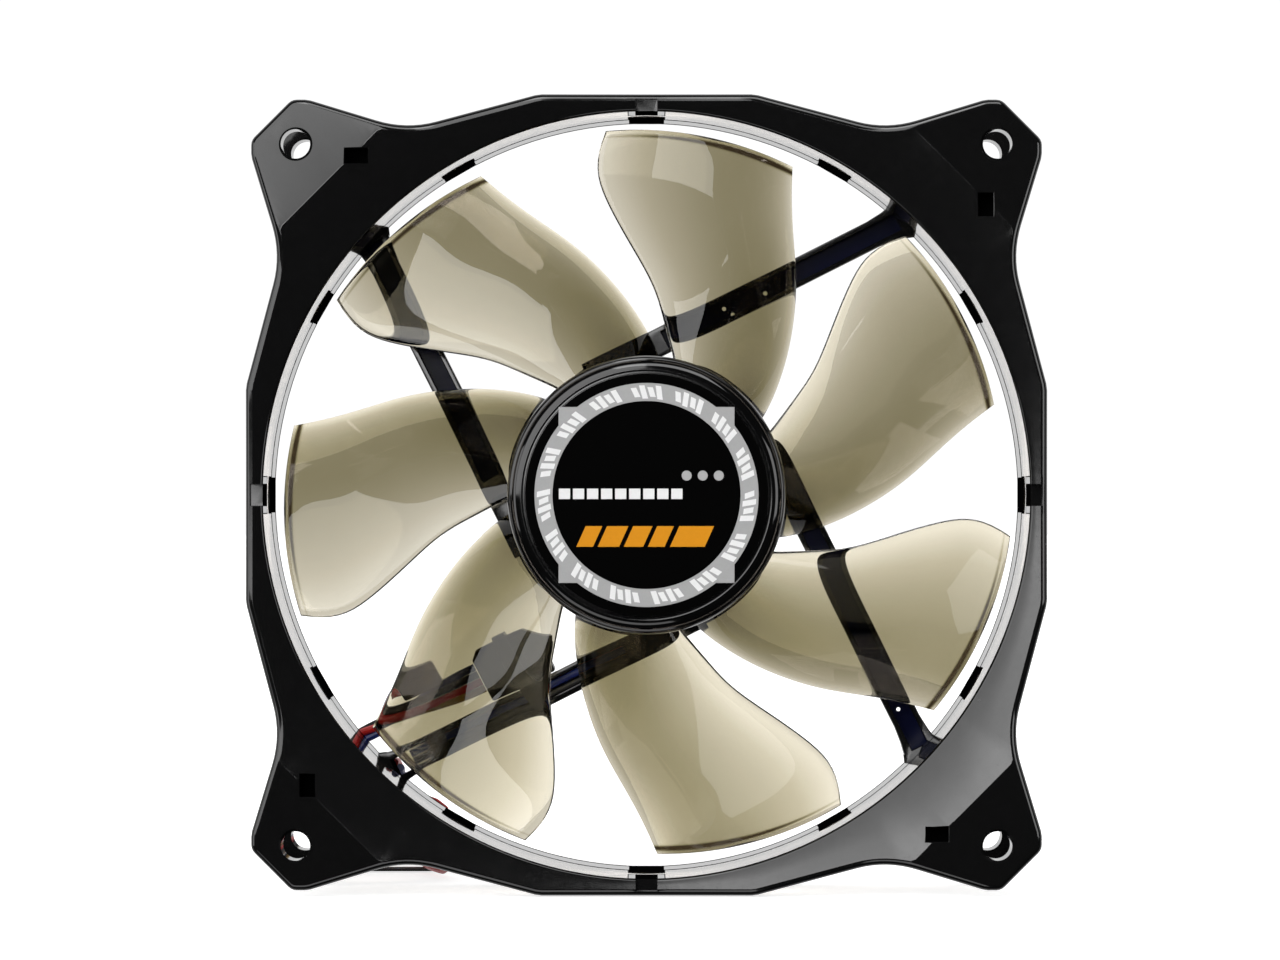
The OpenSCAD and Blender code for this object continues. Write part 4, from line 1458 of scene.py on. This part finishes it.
class CASEFAN_OT_frame(bpy.types.Operator):
    """Builds both black flanges and the clear ring between them"""

    bl_idname = "casefan.frame"
    bl_label = "Frame"

    def execute(self, context):
        plan, colours = fan(context)
        black = moulded("black plastic", tuple(colours.black))
        # Navy black with little gloss for the strut channels: a painted blue glint in place of the
        # reflections in the grooves.
        blue_glint_groove = moulded("strut groove", (0.002, 0.003, 0.018), rough=0.15, shine=0.07)
        # Darker black without reflection, painted shade for the bore's faces, the clips' inner faces and the
        # pockets.
        shade_matt = ceramic("matt black", (0.0015, 0.0015, 0.0016), 0.7, shine=0.0)
        build_front_frame(plan, black, shade_matt)
        build_rear_frame(plan, black, blue_glint_groove, shade_matt)
        build_duct(plan, clear_plastic(colours))
        return {"FINISHED"}


class CASEFAN_OT_impeller(bpy.types.Operator):
    """Builds the smoky impeller"""

    bl_idname = "casefan.impeller"
    bl_label = "Impeller"

    def execute(self, context):
        plan, colours = fan(context)
        build_impeller(plan, smoke_plastic(colours))
        return {"FINISHED"}


class CASEFAN_OT_hub(bpy.types.Operator):
    """Builds the hub cap and its label"""

    bl_idname = "casefan.hub"
    bl_label = "Hub cap and label"

    def execute(self, context):
        plan, colours = fan(context)
        build_cap(plan, moulded("gloss black", tuple(colours.cap), rough=0.04, dusty=0.1))
        build_label(
            plan,
            printed("silver film", tuple(colours.silver), 0.5),
            printed("label ink", (0.0006, 0.0006, 0.0006), 0.5, 0.02),
            printed("white ink", (0.85, 0.85, 0.85)),
            printed("orange ink", tuple(colours.orange)),
            printed("grey ink", (0.42, 0.42, 0.42)),
        )
        return {"FINISHED"}


class CASEFAN_OT_motor(bpy.types.Operator):
    """Gives the motor's own parts their finishes"""

    bl_idname = "casefan.motor"
    bl_label = "Motor"

    def execute(self, context):
        steel = metal("steel", (0.56, 0.57, 0.58), 0.26)
        white = ceramic("white nylon", (0.72, 0.71, 0.67), 0.42)
        chip = ceramic("chip", (0.012, 0.012, 0.013), 0.55)
        looks = {
            "rotor_yoke": metal("zinc plated steel", (0.55, 0.56, 0.57), 0.3),
            "rotor_magnet": ceramic("rubber magnet", (0.03, 0.026, 0.024), 0.6),
            "rotor_shaft": steel,
            "shaft_bush": metal("brass", (0.72, 0.52, 0.22), 0.28),
            "retaining_clip": metal("spring steel", (0.3, 0.3, 0.32), 0.32),
            "oil_washer": ceramic("oiled fibre", (0.02, 0.018, 0.016), 0.5),
            "bearing_sleeve": metal("sintered bronze", (0.5, 0.33, 0.16), 0.42),
            "bearing_tube": metal("brass tube", (0.74, 0.55, 0.25), 0.22),
            "thrust_pad": ceramic("slide plastic", (0.75, 0.74, 0.68), 0.3),
            "stator_core": metal("laminations", (0.42, 0.43, 0.45), 0.36, line=0.0005),
            "front_insulator": white,
            "rear_insulator": white,
            "stator_coils": winding("copper winding", (0.72, 0.30, 0.12)),
            "circuit_board": ceramic("board", (0.01, 0.11, 0.04), 0.3, 600, (0.03, 0.2, 0.08)),
            "hall_sensor": chip,
            "driver_chip": chip,
            "capacitors": ceramic("capacitor", (0.4, 0.28, 0.14), 0.35),
            "plug_terminals": metal("tinned brass", (0.75, 0.66, 0.42), 0.25),
            "rear_label": printed("rear label film", (0.62, 0.62, 0.63), 0.4),
        }
        for node, material in looks.items():
            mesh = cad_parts[node].data
            mesh.materials.clear()
            mesh.materials.append(material)
        return {"FINISHED"}


class CASEFAN_PT_panel(bpy.types.Panel):
    """Lists the fan's operators and sizes"""

    bl_idname = "CASEFAN_PT_panel"
    bl_label = "Case Fan"
    bl_space_type = "VIEW_3D"
    bl_region_type = "UI"
    bl_category = "Case Fan"

    def draw(self, context):
        layout = self.layout
        for operator in OPERATORS:
            layout.operator(operator.bl_idname)
        for group in (context.scene.fan_sizes, context.scene.fan_colours, context.scene.fan_stage):
            box = layout.box()
            for name in group.__annotations__:
                box.prop(group, name)


OPERATORS = (
    CASEFAN_OT_stage,
    CASEFAN_OT_cable,
    CASEFAN_OT_frame,
    CASEFAN_OT_impeller,
    CASEFAN_OT_hub,
    CASEFAN_OT_motor,
)
CLASSES = (FanSizes, FanColours, StageSettings, *OPERATORS, CASEFAN_PT_panel)


def register():
    for cls in CLASSES:
        bpy.utils.register_class(cls)
    bpy.types.Scene.fan_sizes = PointerProperty(type=FanSizes)
    bpy.types.Scene.fan_colours = PointerProperty(type=FanColours)
    bpy.types.Scene.fan_stage = PointerProperty(type=StageSettings)


def unregister():
    del bpy.types.Scene.fan_stage
    del bpy.types.Scene.fan_colours
    del bpy.types.Scene.fan_sizes
    for cls in reversed(CLASSES):
        bpy.utils.unregister_class(cls)


def main():
    register()
    bpy.ops.casefan.stage()
    bpy.ops.casefan.cable()
    bpy.ops.casefan.frame()
    bpy.ops.casefan.impeller()
    bpy.ops.casefan.hub()
    bpy.ops.casefan.motor()


if __name__ == "__main__":
    main()
